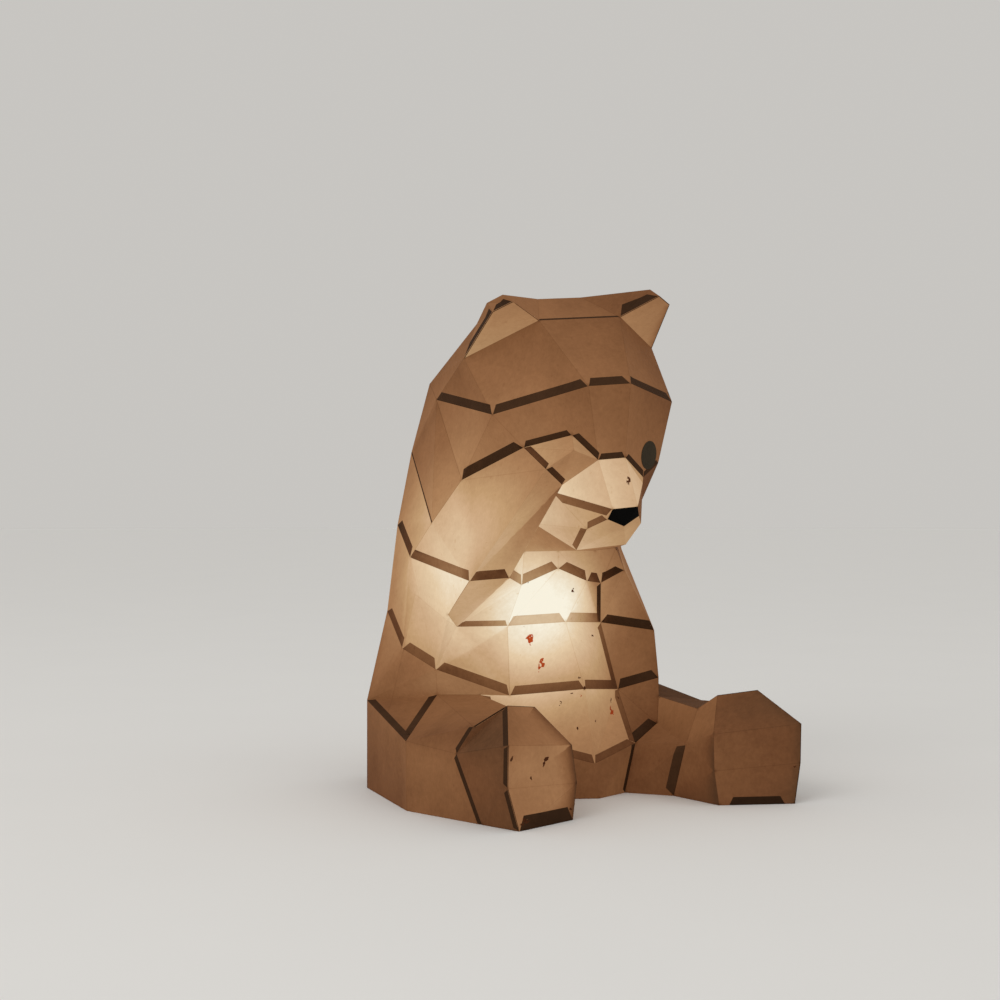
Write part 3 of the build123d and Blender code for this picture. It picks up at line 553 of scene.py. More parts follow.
def scores_on(panel):
    """The scored lines on a panel, clipped to its outline."""
    found = []
    for a, b, sharp, step in SCORES.get(panel["sheet"], ()):
        if panel["normal"].dot(ahead) > FACES_CAMERA:
            continue
        start, end = seen_on(panel, a), seen_on(panel, b)
        low, high = 0, 1
        for corner, way, length in flat_edges(panel):
            first, last = way.cross(start - corner), way.cross(end - corner)
            if first < 0 and last < 0:
                high = 0
            elif first < 0:
                low = max(low, first / (first - last))
            elif last < 0:
                high = min(high, first / (first - last))
        reach = (end - start) * (high - low)
        if high > low and reach.length > SHORTEST_SCORE:
            line = (start.lerp(end, low), reach.normalized(), reach.length)
            found.append({"line": line, "sharp": sharp, "step": step})
    return found


for panel in panels:
    panel["scores"] = scores_on(panel)
print("scored lines", sum(len(panel["scores"]) for panel in panels))

# %% Triangulate a panel
MERGE = 0.001
INSIDE_ONLY = 1


def fine_panel(panel):
    """Triangulate a panel: its points, its triangles, and for each triangle how far a tab darkens it."""
    points = [to_flat(panel, place) for edge in outline_edges(panel) for place in edge_points(*edge)]
    faces = [list(range(len(points)))]
    points += fold_row(panel)
    points += field(panel)
    scored = []
    for score in panel["scores"]:
        start, way, length = score["line"]
        count = max(1, round(length / EDGE_STEP))
        row = [start + way * (length * k / count) for k in range(count + 1)]
        inward = left_of(way) * FOLD_ROW
        points += [point + shift for point in row for shift in (-inward, inward)]
        scored += [(k, k + 1) for k in range(len(points), len(points) + count)]
        points += row
    strengths = [0]
    for band, strength in bands_on(panel):
        strengths.append(strength)
        faces.append(list(range(len(points), len(points) + len(band))))
        points += band
    made = geometry.delaunay_2d_cdt(points, scored, faces, INSIDE_ONLY, MERGE)
    points, _, faces, _, _, origins = made
    kept = [(face, found) for face, found in zip(faces, origins) if 0 in found]
    darkness = [max(strengths[f] for f in found) for face, found in kept]
    return points, [face for face, found in kept], darkness


trial = fine_panel(max(panels, key=lambda panel: len(panel["flat"])))
print("a panel has", len(trial[0]), "points and", len(trial[1]), "triangles")

# %% [markdown]
# ## From panels to paper pieces
#
# Each sheet becomes one mesh. Panels of the same sheet are welded along their folds, so smooth shading
# rounds the fold over its narrow second row, as a scored crease does. Panels of two sheets stay apart, and
# their seam stays crisp. A fold looks as sharp as its angle makes it, apart from those that are named here
# by their middle: some are crisp although they are shallow, and some don't show at all. Four attributes go
# along for the shader: fold, seam, tab and glow. Flat card is never quite flat, so the middle of a large
# panel sinks in by a fraction of a millimetre.

# %% Sharpness of the folds
SOFT_FOLD = math.radians(4)
HARD_FOLD = math.radians(25)
FAINT_FOLDS = {"belly_lower": 0.25, "chin": 0.25, "crotch": 0.4, "left_leg_inner": 0.5}
FOLD_SHARPNESS = {
    0.9: [(100, -197, 30), (-78, -92, 266), (-82, -109, 225), (-31, -118, 237), (-52, -122, 286),
          (-50, -136, 278), (-26, -136, 281), (-104, -23, 92), (-157, -122, 54)],
    0.0: [(100, -198, 46), (102, -198, 16), (92, -178, 73), (-96, -198, 14), (-100, -195, 44),
          (-110, -184, 74), (52, -102, 405), (63, -168, 51), (-110, -61, 203), (-100, -69, 221),
          (-71, -102, 219), (-74, -50, 111), (-114, -18, 150), (-122, -2, 158), (-108, -42, 128),
          (-102, -36, 122), (-67, -48, 157), (-89, -71, 166), (-128, -3, 90), (-136, 12, 98),
          (-124, 4, 78), (-152, -126, 64), (-157, -122, 26)]}


def edge_kinds(panel):
    """For each edge of the outline: whether it is a fold or a seam, and how sharp, from 0 to 1."""
    kinds = []
    for a, b in outline_edges(panel):
        if is_fold(a, b):
            first, second = outside_at[frozenset((a, b))]
            angle = normals[first].angle(normals[second])
            sharp = min(1, max(0, (angle - SOFT_FOLD) / (HARD_FOLD - SOFT_FOLD)))
            sharp *= FAINT_FOLDS.get(panel["sheet"], 1)
            named = [value for value, points in FOLD_SHARPNESS.items() if is_one_of(a, b, points)]
            kinds.append(("fold", named[0] if named else sharp))
        else:
            kinds.append(("seam", 1))
    return kinds


print("folds named", {value: len(points) for value, points in FOLD_SHARPNESS.items()})

# %% Add a panel
SINK = 0.35 * MM
SINK_RAMP = 20.0
SINK_SCALE = 18.0
ON_EDGE = 0.05
HEM_LIFT = 0.15 * MM


def add_panel(build, panel, layers):
    """Add a panel's fine mesh to the sheet that is being built."""
    points, faces, darkness = fine_panel(panel)
    lines = list(zip(edge_kinds(panel), flat_edges(panel)))
    lines += [(("fold", score["sharp"]), score["line"]) for score in panel["scores"]]
    used = {i for face in faces for i in face}
    corners = {}
    for i in used:
        point = points[i]
        place = to_place(panel, point)
        place.z = max(place.z, HEM_LIFT)
        ramp = min(1, inset_of(panel, point) / SINK_RAMP)
        sink = SINK * ramp * (0.5 + 0.5 * noise.noise(place * SINK_SCALE))
        corner = build.verts.new(place - panel["normal"] * sink)
        corner[layers["glow"]] = gain_at(panel, place)
        for (kind, sharp), (start, way, length) in lines:
            reach = point - start
            if abs(way.cross(reach)) < ON_EDGE and -ON_EDGE < reach.dot(way) < length + ON_EDGE:
                corner[layers[kind]] = max(sharp, corner[layers[kind]])
        corners[i] = corner
    for face, dark in zip(faces, darkness):
        made = build.faces.new([corners[i] for i in face])
        made.smooth = True
        made[layers["tab"]] = dark


print("panels sink up to", SINK / MM, "mm")

# %% Build a sheet
PAPER = 0.5 * MM
WELD_FOLD = 0.05 * MM


def paper_piece(name, outer, inner):
    """A sheet of the shade with its panels and its own glue tabs, one paper thick."""
    build = bmesh.new()
    layers = {kind: build.verts.layers.float.new(kind) for kind in ("fold", "seam", "glow")}
    layers["tab"] = build.faces.layers.float.new("tab")
    for panel in panels:
        if panel["sheet"] == name:
            add_panel(build, panel, layers)
    bmesh.ops.remove_doubles(build, verts=build.verts, dist=WELD_FOLD)
    for tab in tabs:
        if tab["owner"] == name:
            build.faces.new([build.verts.new(place) for place in tab["rim"]])
    mesh = bpy.data.meshes.new(name + "_paper")
    build.to_mesh(mesh)
    build.free()
    mesh.materials.append(outer)
    mesh.materials.append(inner)
    piece = add_object(name + "_paper", mesh)
    thick = piece.modifiers.new("paper", "SOLIDIFY")
    thick.thickness = PAPER
    thick.offset = -1
    thick.material_offset = 1
    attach(piece, "shade")
    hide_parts(name)


print("paper", PAPER / MM, "mm thick")

# %% [markdown]
# ## Writing shader maths in Python
#
# A material is a graph of nodes. Long graphs are hard to read as links, so a small class wraps a node's
# output and lets Python's own operators add the Math nodes. Any other node comes from one method, make,
# which sets the node's settings first and then its sockets. Vectors and colours go through Vector Math and
# Mix nodes.

# %% The Signal class
MIX_FACTOR, MIX_FIRST, MIX_SECOND = 0, 6, 7
MIX_RESULT = 2


def operator(operation):
    """A Math node for a Python operator, and for its reflected form with the number in front."""
    return (lambda self, other: self.maths(operation, self, other),
            lambda self, other: self.maths(operation, other, self))


class Signal:
    """An output of a node, with maths written as Python expressions."""

    __add__, __radd__ = operator("ADD")
    __sub__, __rsub__ = operator("SUBTRACT")
    __mul__, __rmul__ = operator("MULTIPLY")
    __truediv__, __rtruediv__ = operator("DIVIDE")
    __pow__, __rpow__ = operator("POWER")

    def __init__(self, tree, socket=None):
        self.tree = tree
        self.socket = socket

    def make(self, kind, settings=None, inputs=None, output=0):
        """Add a node: its settings first, then values or links for its sockets."""
        node = self.tree.nodes.new(kind)
        for key, value in (settings or {}).items():
            if key == "stops":
                ramp = node.color_ramp
                while len(ramp.elements) < len(value):
                    ramp.elements.new(0.5)
                for element, (position, colour) in zip(ramp.elements, value):
                    element.position = position
                    element.color = (*colour, 1)
            else:
                setattr(node, key, value)
        feed(node, inputs or {})
        return Signal(self.tree, node.outputs[output])

    def maths(self, operation, *values):
        return self.make("ShaderNodeMath", {"operation": operation}, dict(enumerate(values)))

    def applied(self, operation):
        return self.maths(operation, self)

    def at_least(self, other):
        return self.maths("MAXIMUM", self, other)

    def vector(self, operation, *values, output=0):
        return self.make("ShaderNodeVectorMath", {"operation": operation}, dict(enumerate(values)), output)

    def step(self, low, high):
        """0 below low, 1 above high, and smooth between."""
        inputs = {"Value": self, "From Min": low, "From Max": high}
        return self.make("ShaderNodeMapRange", {"interpolation_type": "SMOOTHSTEP"}, inputs)

    def colours(self, first, second):
        """The first colour where this is 0, the second where it is 1."""
        inputs = {MIX_FACTOR: self, MIX_FIRST: first, MIX_SECOND: second}
        return self.make("ShaderNodeMix", {"data_type": "RGBA"}, inputs, MIX_RESULT)

    def ramp(self, stops):
        return self.make("ShaderNodeValToRGB", {"stops": stops}, {0: self})

    def noise(self, scale, detail=2, roughness=0.5):
        """Noise over this vector, about 0.5 on average."""
        inputs = {"Vector": self, "Scale": scale, "Detail": detail, "Roughness": roughness}
        return self.make("ShaderNodeTexNoise", {}, inputs)

    def scaled(self, colour):
        """A colour times this value."""
        return self.make("ShaderNodeVectorMath", {"operation": "SCALE"}, {0: colour, "Scale": self})

    def part(self, kind, number):
        """One of the three parts of a vector, kind XYZ, or of a colour, kind Color."""
        return self.make("ShaderNodeSeparate" + kind, {}, {0: self}, number)

    def bump(self, strength, distance):
        """A normal that follows this height."""
        return self.make("ShaderNodeBump", {}, {"Strength": strength, "Distance": distance, "Height": self})


print("methods", [name for name in vars(Signal) if not name.startswith("_")])

# %% Sockets and new materials


def feed(node, sockets):
    """Set or link a node's sockets by name or number."""
    for key, value in sockets.items():
        if isinstance(value, Signal):
            value.tree.links.new(value.socket, node.inputs[key])
        else:
            node.inputs[key].default_value = value


def new_material(name):
    """A fresh material: the place on the piece as a signal, its shader node and itself."""
    material = bpy.data.materials.new(name)
    material.use_nodes = True
    tree = material.node_tree
    place = Signal(tree).make("ShaderNodeTexCoord", output="Object")
    return place, tree.nodes["Principled BSDF"], material


print("signals ready")

# %% [markdown]
# ## Lit paper
#
# Brown card in front of a bulb takes its colour from both sides. Room light makes it a dull brown, and
# light from within turns it from brown to tan and cream. A true translucent shader would need a dark room
# to show that, so here the light from within is an emission, worked out at each point. Most of it bounces
# about inside the shade, so it falls off gently from the middle of the raised arm, and where the belly is
# closest to the bulb there is a hot pool.

# %% Light from within
bulb_low, bulb_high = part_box("bulb_globe")
BULB = (bulb_low + bulb_high) / 2
GLOW_CENTRE = Vector((-90, -70, 210)) * MM
POOL_CENTRE = Vector((-20, -45, 147)) * MM
POOL_RADIUS = 38 * MM
SPREAD = 100
GLOW_CORE = 1.44
GLOW_FALL = 1.5
SLANT_LIGHT = 0.155
BOUNCED_LIGHT = 0.665
LEAST_LIGHT = 0.044
POOL_LIGHT = 0.484
INNER_CORE = 0.3
INNER_LIGHT = 0.35
INNER_LEAST = 0.2
GLOW_STOPS = [(0.04, (0, 0, 0)), (0.077, (0.055, 0.018, 0.006)), (0.116, (0.122, 0.052, 0.020)),
              (0.158, (0.18, 0.083, 0.035)), (0.25, (0.30, 0.163, 0.076)), (0.357, (0.43, 0.28, 0.143)),
              (0.437, (0.52, 0.36, 0.215)), (0.616, (0.685, 0.546, 0.36)), (0.77, (0.78, 0.71, 0.55)),
              (0.9, (0.867, 0.85, 0.717))]


def square_reach(place, centre):
    """The squared distance to a centre, and the direction to it."""
    way = place.vector("SUBTRACT", centre, place)
    return way.vector("DOT_PRODUCT", way, way, output="Value"), way.vector("NORMALIZE", way)


def outer_level(place, normal):
    """How brightly the card is lit from within, seen from outside."""
    square, way = square_reach(place, GLOW_CENTRE)
    spread = square * SPREAD + GLOW_CORE
    slant = (0 - way.vector("DOT_PRODUCT", way, normal, output="Value")).at_least(0)
    pool = (square_reach(place, POOL_CENTRE)[0] * (-0.5 / POOL_RADIUS ** 2)).applied("EXPONENT")
    bounced = BOUNCED_LIGHT / spread ** GLOW_FALL
    return SLANT_LIGHT * slant / spread + bounced + LEAST_LIGHT + POOL_LIGHT * pool


def inner_level(place, normal):
    """How brightly the card is lit on its inside, straight from the bulb."""
    square, way = square_reach(place, BULB)
    slant = way.vector("DOT_PRODUCT", way, normal, output="Value").at_least(0)
    return INNER_LEAST + INNER_LIGHT * slant / (square * SPREAD + INNER_CORE)


print("bulb at", [round(x / MM, 1) for x in BULB])

# %% [markdown]
# ## Card, bands, folds and flecks
#
# Kraft card has a cloudy tone, short fibres and a fine tooth. Scored folds and glued seams show as thin dark
# lines of painted shade. Over a tab the level drops to about a fifth, and by less where the light is
# fiercest, and the base colour is darkened there too as painted shade of the tab. Recycled card also carries
# a few red-brown flecks, which show best where it is lit.

# %% Card material
CARD = (0.115, 0.053, 0.024)
FLECK = (0.30, 0.045, 0.010)
DARK_FLECK = (0.06, 0.018, 0.006)
FIBRE_STRETCH = (0.35, 1, 0.35)
FIBRE_SCALE = 900
TOOTH_SCALE = 1500
TOOTH_STRENGTH = 0.3
TOOTH_DEPTH = 0.12 * MM
# Strengths of the thin dark lines of painted shade along the folds and the seams
FOLD_SHADE_LINE = 0.16
SEAM_SHADE_LINE = 0.30
TAB_SHUTS = 0.82
LIGHT_OPENS = 0.30


def value_of(place, name):
    """A mesh attribute as a signal."""
    return place.make("ShaderNodeAttribute", {"attribute_name": name}, output="Fac")


def flecks_of(place, size, share, seed):
    """Sparse ragged spots in a share of the cells of a grid: their mask, and a random value for each."""
    ragged = (place.noise(1.6 / size, 3, 0.7) - 0.5).scaled((size, 0.7 * size, 1.3 * size))
    bent = place.vector("ADD", place.vector("ADD", place, ragged), (seed, 2 * seed, 3 * seed))
    inputs = {"Vector": bent, "Scale": 1 / size, "Randomness": 1}
    near = bent.make("ShaderNodeTexVoronoi", {"feature": "F1"}, inputs)
    cell = bent.make("ShaderNodeTexVoronoi", {"feature": "F1"}, inputs, output="Color")
    chance, breadth, value = [cell.part("Color", k) for k in range(3)]
    spot = 1 - (near / (0.10 + 0.10 * breadth)).step(0.85, 1.0)
    return chance.step(1 - share, 1 - share + 0.01) * spot, value


def card_finish(name, inside=False, flecks=None):
    """Kraft card lit from within, with painted shade at folds, seams and tabs, and flecks of a given colour.
    """
    place, shader, material = new_material(name)
    normal = place.make("ShaderNodeTexCoord", output="Normal")
    clouds = place.noise(32, 3) - 0.5
    mottle = place.noise(210, 3, 0.6) - 0.5
    fibres = place.vector("MULTIPLY", place, FIBRE_STRETCH).noise(FIBRE_SCALE, 2, 0.6) - 0.5
    specks = flecks_of(place, 6 * MM, 0.3, 0.13)[0]
    fold = value_of(place, "fold") ** 2
    seam = value_of(place, "seam") ** 3
    tab = value_of(place, "tab")
    # Painted shade: thin dark lines along the scored folds and the glued seams, in the light from within and
    # in the base colour
    line = 1 - FOLD_SHADE_LINE * fold - SEAM_SHADE_LINE * seam
    texture = 1 + 0.18 * clouds + 0.14 * mottle + 0.12 * fibres - 0.10 * specks
    level = inner_level(place, normal) if inside else outer_level(place, normal) * value_of(place, "glow")
    level = level * texture * line
    shut = tab * (TAB_SHUTS - LIGHT_OPENS * level.step(0.15, 0.85))
    glow = (level * (1 - shut)).ramp(GLOW_STOPS)
    # Painted shade: over a tab the base colour is darkened by half the tab's darkness
    card = ((1 + 0.5 * clouds + 0.4 * mottle + 0.3 * fibres) * line * (1 - 0.5 * tab)).scaled(CARD)
    if flecks:
        large, value = flecks_of(place, 22 * MM, 0.40, 0.53)
        small = flecks_of(place, 10 * MM, 0.14, 0.77)[0]
        tint = value.step(0.55, 0.75).colours((*flecks, 1), (*DARK_FLECK, 1))
        card = small.colours(large.colours(card, tint), (*DARK_FLECK, 1))
        glow = small.colours(large.colours(glow, level.scaled(tint)), level.scaled(DARK_FLECK))
    grain = place.noise(TOOTH_SCALE, 2) + 0.8 * fibres + 0.5 * mottle
    feed(shader, {"Base Color": card, "Roughness": 0.84 + 0.12 * mottle, "Emission Color": glow,
                  "Emission Strength": 1.0, "Normal": grain.bump(TOOTH_STRENGTH, TOOTH_DEPTH),
                  "Specular IOR Level": 0.05})
    return material


card_outside = card_finish("card_outside")
card_red_flecks = card_finish("card_with_red_flecks", flecks=FLECK)
card_dark_flecks = card_finish("card_with_dark_flecks", flecks=DARK_FLECK)
card_inside = card_finish("card_inside", inside=True)
print("card materials", [m.name for m in (card_outside, card_red_flecks, card_dark_flecks, card_inside)])

# %% [markdown]
# The nose and the eye are cut from dark card, thick enough to stop all the light.

# %% Nose and eye card


def dark_card(name, colour):
    place, shader, material = new_material(name)
    fibres = place.vector("MULTIPLY", place, FIBRE_STRETCH).noise(FIBRE_SCALE, 3) - 0.5
    clouds = place.noise(60, 3) - 0.5
    grain = place.noise(TOOTH_SCALE, 2) + 0.8 * fibres
    feed(shader, {"Base Color": (1 + 0.5 * fibres + 0.5 * clouds).scaled(colour),
                  "Roughness": 0.8 + 0.15 * fibres, "Normal": grain.bump(TOOTH_STRENGTH, TOOTH_DEPTH),
                  "Specular IOR Level": 0.06})
    return material


nose_card = dark_card("nose_card", (0.002, 0.0017, 0.0015))
eye_card = dark_card("eye_card", (0.046, 0.034, 0.020))
print("dark card", nose_card.name, eye_card.name)

# %% [markdown]
# ## Cutting all sheets
#
# Each sheet gets a gain for its light, judged against the photograph: the muzzle catches light from below,
# while the far leg lies behind other sheets. Sheets that aren't named have the gain of most of the shade.
# A few panels inside a sheet stand out, because they turn to the bulb or hide from it. They are picked by
# a point near their middle. Across a fold the gain changes within a few millimetres, and over the soft
# curves of the feet within more. A scored line has its step of the light, some panels darken towards one
# point, where another sheet stands before the bulb, and some seams throw a soft shade on the sheet beside
# them. These seams are picked by their middle. Each shade has a strength, and a width in millimetres.

# %% Gains by name
SHEET_GAIN = {
    2.4: ("muzzle_top", "right_ear_front", "left_ear_front"),
    2.1: ("belly_lower",),
    1.6: ("chin", "right_muzzle_side", "right_sole"),
    1.45: ("belly_upper", "waist"),
    1.3: ("belly_middle",),
    1.15: ("right_upper_arm", "left_upper_arm", "right_paw", "left_leg_inner", "left_foot_inner",
           "left_sole", "crown", "neck"),
    0.85: ("right_forearm", "rump", "right_leg", "head_back", "face", "throat"),
    0.7: ("neck_right", "right_foot_outer", "left_leg"),
    0.5: ("left_muzzle_side", "neck_left")}
PANEL_GAIN = {
    1.4: ((-113, -42, 201), (82, -97, 67), (-132, 19, 115)),
    1.3: ((-98, -197, 29), (-86, -195, 9), (-159, -112, 36), (-151, -139, 17), (67, -160, 58),
          (76, -163, 72), (-89, 29, 322), (-105, -58, 223), (88, -193, 50)),
    1.2: ((-93, -29, 89), (-118, -7, 87), (63, -89, 396), (-112, -199, 51), (89, -194, 20),
          (33, -64, 103), (77, -62, 102), (73, -125, 57), (26, -105, 14), (-104, -42, 132)),
    1.1: ((-141, -177, 28), (62, -157, 24), (33, -88, 50), (8, -54, 168), (-2, -136, 309),
          (74, -68, 70), (77, -64, 83), (55, -106, 409), (-118, -12, 140), (-111, -43, 157),
          (-107, 16, 246), (-60, -46, 151)),
    1.05: ((-87, -90, 237),),
    0.9: ((110, -202, 11), (-71, -99, 338), (-135, -89, 70), (-105, -108, 76), (-137, -28, 70),
          (33, -89, 413), (63, -174, 43)),
    0.85: ((-123, 9, 156), (-65, -47, 120), (-96, -184, 69), (-27, -107, 217), (-140, -189, 49),
           (90, -172, 77), (46, -117, 29), (48, -52, 166), (-45, -130, 271), (-83, -68, 79),
           (111, -201, 41), (-94, -76, 171), (-91, -62, 158), (-70, -97, 207)),
    0.75: ((-32, -80, 211), (-93, -52, 336), (-119, 22, 190), (-83, -84, 288), (101, -125, 74),
           (137, -28, 67), (-151, -135, 60), (64, -169, 9)),
    0.65: ((-134, -178, 68), (-136, -162, 71), (106, -188, 70), (-113, -180, 79)),
    0.5: ((36, -50, 163),)}
PANEL_SHADES = [((-91, -62, 158), (-68, -89, 183), 0.45, 60), ((-95, -76, 171), (-68, -89, 183), 0.45, 60),
                ((-70, -97, 207), (-34, -115, 259), 0.45, 110)]
SOFT_REACH = {
    24.0: ("left_sole", "right_sole", "belly_middle", "belly_lower", "forehead", "face"),
    16.0: ("left_foot_inner", "right_foot_outer", "left_leg_inner", "right_leg", "left_forearm", "left_paw"),
    9.0: ("left_ear_front", "crown", "rump", "crotch", "right_forearm"),
    5.0: ("belly_upper", "waist")}
SOFT_SHADES = {
    "left_foot_inner": (((65, -185, 42), 0.45, 16), ((66, -188, 14), 0.5, 16)),
    "right_sole": (((-65, -185, 42), 0.8, 26), ((-66, -188, 14), 0.8, 26), ((-76, -172, 71), 0.55, 26)),
    "left_sole": (((135, -208, 48), 0.35, 10), ((131, -208, 16), 0.35, 10), ((126, -190, 76), 0.25, 12)),
    "left_ear_front": (((80, -84, 394), 0.4, 9),)}
print("panels with a gain of their own", sum(len(points) for points in PANEL_GAIN.values()))

# %% Gain at a place
USUAL_GAIN = 1.0
USUAL_REACH = 3.0
SCORE_BLEND = 1.5
SCORE_FADE = 50.0
SCORE_END = 8.0


def middle_of(panel):
    """The mean of a panel's corners."""
    return sum((places[corner] for corner in panel["outline"]), Vector()) / len(panel["outline"])


def far_from(place, a, b):
    """How far a place lies from the edge between two corners, in millimetres."""
    share = geometry.intersect_point_line(place, places[a], places[b])[1]
    return (place - places[a].lerp(places[b], min(max(share, 0), 1))).length / MM


def step_at(panel, place, score):
    """How a scored line changes the light at a place: more on its left, less on its right."""
    start, way, length = score["line"]
    reach = to_flat(panel, place) - start
    side = way.cross(reach)
    beyond = max(0, -reach.dot(way), reach.dot(way) - length)
    fade = max(0, 1 - abs(side) / SCORE_FADE) * max(0, 1 - beyond / SCORE_END)
    return 1 + score["step"] * fade * min(1, max(-1, side / SCORE_BLEND))


def gain_at(panel, place):
    """The gain at a place on a panel: its own, blended with its neighbours' near the folds, and shaded."""
    reach = pick(SOFT_REACH, panel["sheet"], USUAL_REACH)
    total = panel["gain"]
    weight = 1.0
    for other in panels:
        if other["sheet"] == panel["sheet"] and other is not panel and other["gain"] != panel["gain"]:
            near = max(0, 1 - min(far_from(place, a, b) for a, b in outline_edges(other)) / reach) ** 2
            total += near * other["gain"]
            weight += near
    gain = total / weight
    for score in panel["scores"]:
        gain *= step_at(panel, place, score)
    for middle, point, strength, width in PANEL_SHADES:
        if (middle_of(panel) - Vector(middle) * MM).length < NEAR:
            gain *= 1 - strength * max(0, 1 - (place - Vector(point) * MM).length / MM / width)
    for point, strength, width in SOFT_SHADES.get(panel["sheet"], ()):
        for a, b in outline_edges(panel):
            if is_one_of(a, b, [point]):
                gain *= 1 - strength * max(0, 1 - far_from(place, a, b) / width) ** 2
    return gain


for panel in panels:
    panel["gain"] = pick(SHEET_GAIN, panel["sheet"], USUAL_GAIN)
for gain, points in PANEL_GAIN.items():
    for point in points:
        panel = min(panels, key=lambda panel: (middle_of(panel) - Vector(point) * MM).length)
        panel["gain"] *= gain
gains = [panel["gain"] for panel in panels]
print("gains from", round(min(gains), 2), "to", round(max(gains), 2))

# %% [markdown]
# Now the sheets can be cut. Belly, muzzle and soles are of recycled card with flecks, and the nose is dark
# card on both sides. Each piece takes the place of its solid.

# %% Cut the sheets
FLECKED = {
    card_red_flecks: ("belly_upper", "belly_middle", "belly_lower"),
    card_dark_flecks: ("muzzle_top", "right_sole", "left_sole")}

for name in sheets:
    if name == "nose":
        paper_piece(name, nose_card, nose_card)
    else:
        paper_piece(name, pick(FLECKED, name, card_outside), card_inside)
print("paper pieces", len(sheets))

# %% [markdown]
# ## Finishes of the stand
#
# The stand shows when the shade is lifted off, so its solids keep their shape and get real finishes. Zinc,
# brass and nickel vary in roughness, with faint stains and fine rings from the lathe. The lamp pipe has a
# helical thread. It is only a millimetre in pitch and hidden under the shade, so it is drawn as a bump.

# %% Metal finishes
TURN = 2 * math.pi
RING_STRETCH = (0.04, 0.04, 1)


def metal_finish(name, colour, stain, roughness, pitch=None):
    """Plated or bare metal with lathe rings and faint stains, and a thread where a pitch is given."""
    place, shader, material = new_material(name)
    rings = place.vector("MULTIPLY", place, RING_STRETCH).noise(2400, 3, 0.6) - 0.5
    blotch = place.noise(70, 4, 0.6)
    grain = 0.3 * rings + 0.3 * place.noise(1800, 2)
    depth = 0.03 * MM
    if pitch:
        x, y, z = [place.part("XYZ", k) for k in range(3)]
        grain = 0.5 + 0.5 * (z * (TURN / pitch) - y.maths("ARCTAN2", y, x)).applied("SINE") + 0.05 * rings
        depth = 0.35 * pitch
    tone = blotch.step(0.52, 0.75).colours((*colour, 1), (*stain, 1))
    rough = roughness + 0.22 * (blotch - 0.5) + 0.10 * rings
    feed(shader, {"Base Color": tone, "Metallic": 1.0, "Roughness": rough, "Normal": grain.bump(0.6, depth)})
    return material


zinc = metal_finish("zinc_plate", (0.62, 0.63, 0.64), (0.50, 0.50, 0.47), 0.36)
pipe = metal_finish("threaded_zinc_pipe", (0.62, 0.63, 0.64), (0.50, 0.50, 0.47), 0.36, pitch=1 * MM)
brass = metal_finish("stamped_brass", (0.78, 0.58, 0.28), (0.52, 0.34, 0.14), 0.34)
nickel = metal_finish("nickel_cap", (0.70, 0.68, 0.64), (0.58, 0.55, 0.49), 0.28)
print("metals", [material.name for material in (zinc, pipe, brass, nickel)])

# %% [markdown]
# The foot is a steel cup with stoved paint over a cast-iron weight. Paint dries with a slight orange peel
# and gathers dust near the floor. Iron keeps the grain of the sand that it was cast in, and rusts in
# patches. Both are noise, as bump and as stain, because so fine a relief would cost too many faces.

# %% Painted steel and cast iron
PAINT = (0.80, 0.78, 0.73)
DUST = (0.45, 0.40, 0.34, 1)
IRON = (0.075, 0.073, 0.072)
RUST = (0.16, 0.07, 0.035, 1)

place, shader, paint = new_material("off_white_paint")
clouds = place.noise(45, 4, 0.6)
dust = (1 - place.part("XYZ", 2).step(3 * MM, 12 * MM)) * clouds.step(0.35, 0.7)
tone = (0.35 * dust).colours((1 + 0.08 * (clouds - 0.5)).scaled(PAINT), DUST)
rough = 0.36 + 0.16 * (clouds - 0.5) + 0.3 * dust
peel = place.noise(420, 2)
feed(shader, {"Base Color": tone, "Roughness": rough, "Normal": peel.bump(0.25, 0.06 * MM)})

place, shader, iron = new_material("cast_iron")
sand = place.noise(700, 4, 0.7)
rust = place.noise(90, 4, 0.65).step(0.55, 0.72)
tone = rust.colours((1 + 0.6 * (sand - 0.5)).scaled(IRON), RUST)
feed(shader, {"Base Color": tone, "Metallic": 0.75 - 0.7 * rust, "Roughness": 0.62 + 0.3 * (sand - 0.5),
              "Normal": sand.bump(0.8, 0.3 * MM)})
print("paint and iron", paint.name, iron.name)

# %% [markdown]
# Holder and switch are moulded from black plastic, the bulb's housing from white, and the holder's core is
# glazed porcelain. One function makes them all: what differs is the tooth, which is fine on plastic, broad
# on a glaze and made of cells on the foam pad and the diode board.

# %% Plastic, ceramic, foam and board


def moulded_finish(name, colour, roughness, tooth, pattern, depth):
    """Moulded or pressed material: a tooth of this size, faint clouds and a matching roughness."""
    place, shader, material = new_material(name)
    clouds = place.noise(55, 3) - 0.5
    if pattern == "cells":
        height = place.make("ShaderNodeTexVoronoi", {"feature": "F1"}, {"Vector": place, "Scale": 1 / tooth})
    else:
        height = place.noise(1 / tooth, 3, 0.6)
    feed(shader, {"Base Color": (1 + 0.14 * clouds + 0.10 * (height - 0.5)).scaled(colour),
                  "Roughness": roughness + 0.14 * clouds + 0.12 * (height - 0.5),
                  "Normal": height.bump(0.5, depth)})
    return material


black_plastic = moulded_finish("black_plastic", (0.022, 0.021, 0.020), 0.46, 0.5 * MM, "spark", 0.05 * MM)
white_plastic = moulded_finish("white_plastic", (0.84, 0.83, 0.80), 0.30, 1.2 * MM, "spark", 0.02 * MM)
porcelain = moulded_finish("porcelain", (0.86, 0.84, 0.79), 0.16, 2.5 * MM, "spark", 0.05 * MM)
foam = moulded_finish("closed_foam", (0.045, 0.045, 0.047), 0.92, 0.7 * MM, "cells", 0.25 * MM)
board = moulded_finish("white_board", (0.88, 0.88, 0.85), 0.42, 0.9 * MM, "cells", 0.02 * MM)
print("mouldings", [m.name for m in (black_plastic, white_plastic, porcelain, foam, board)])

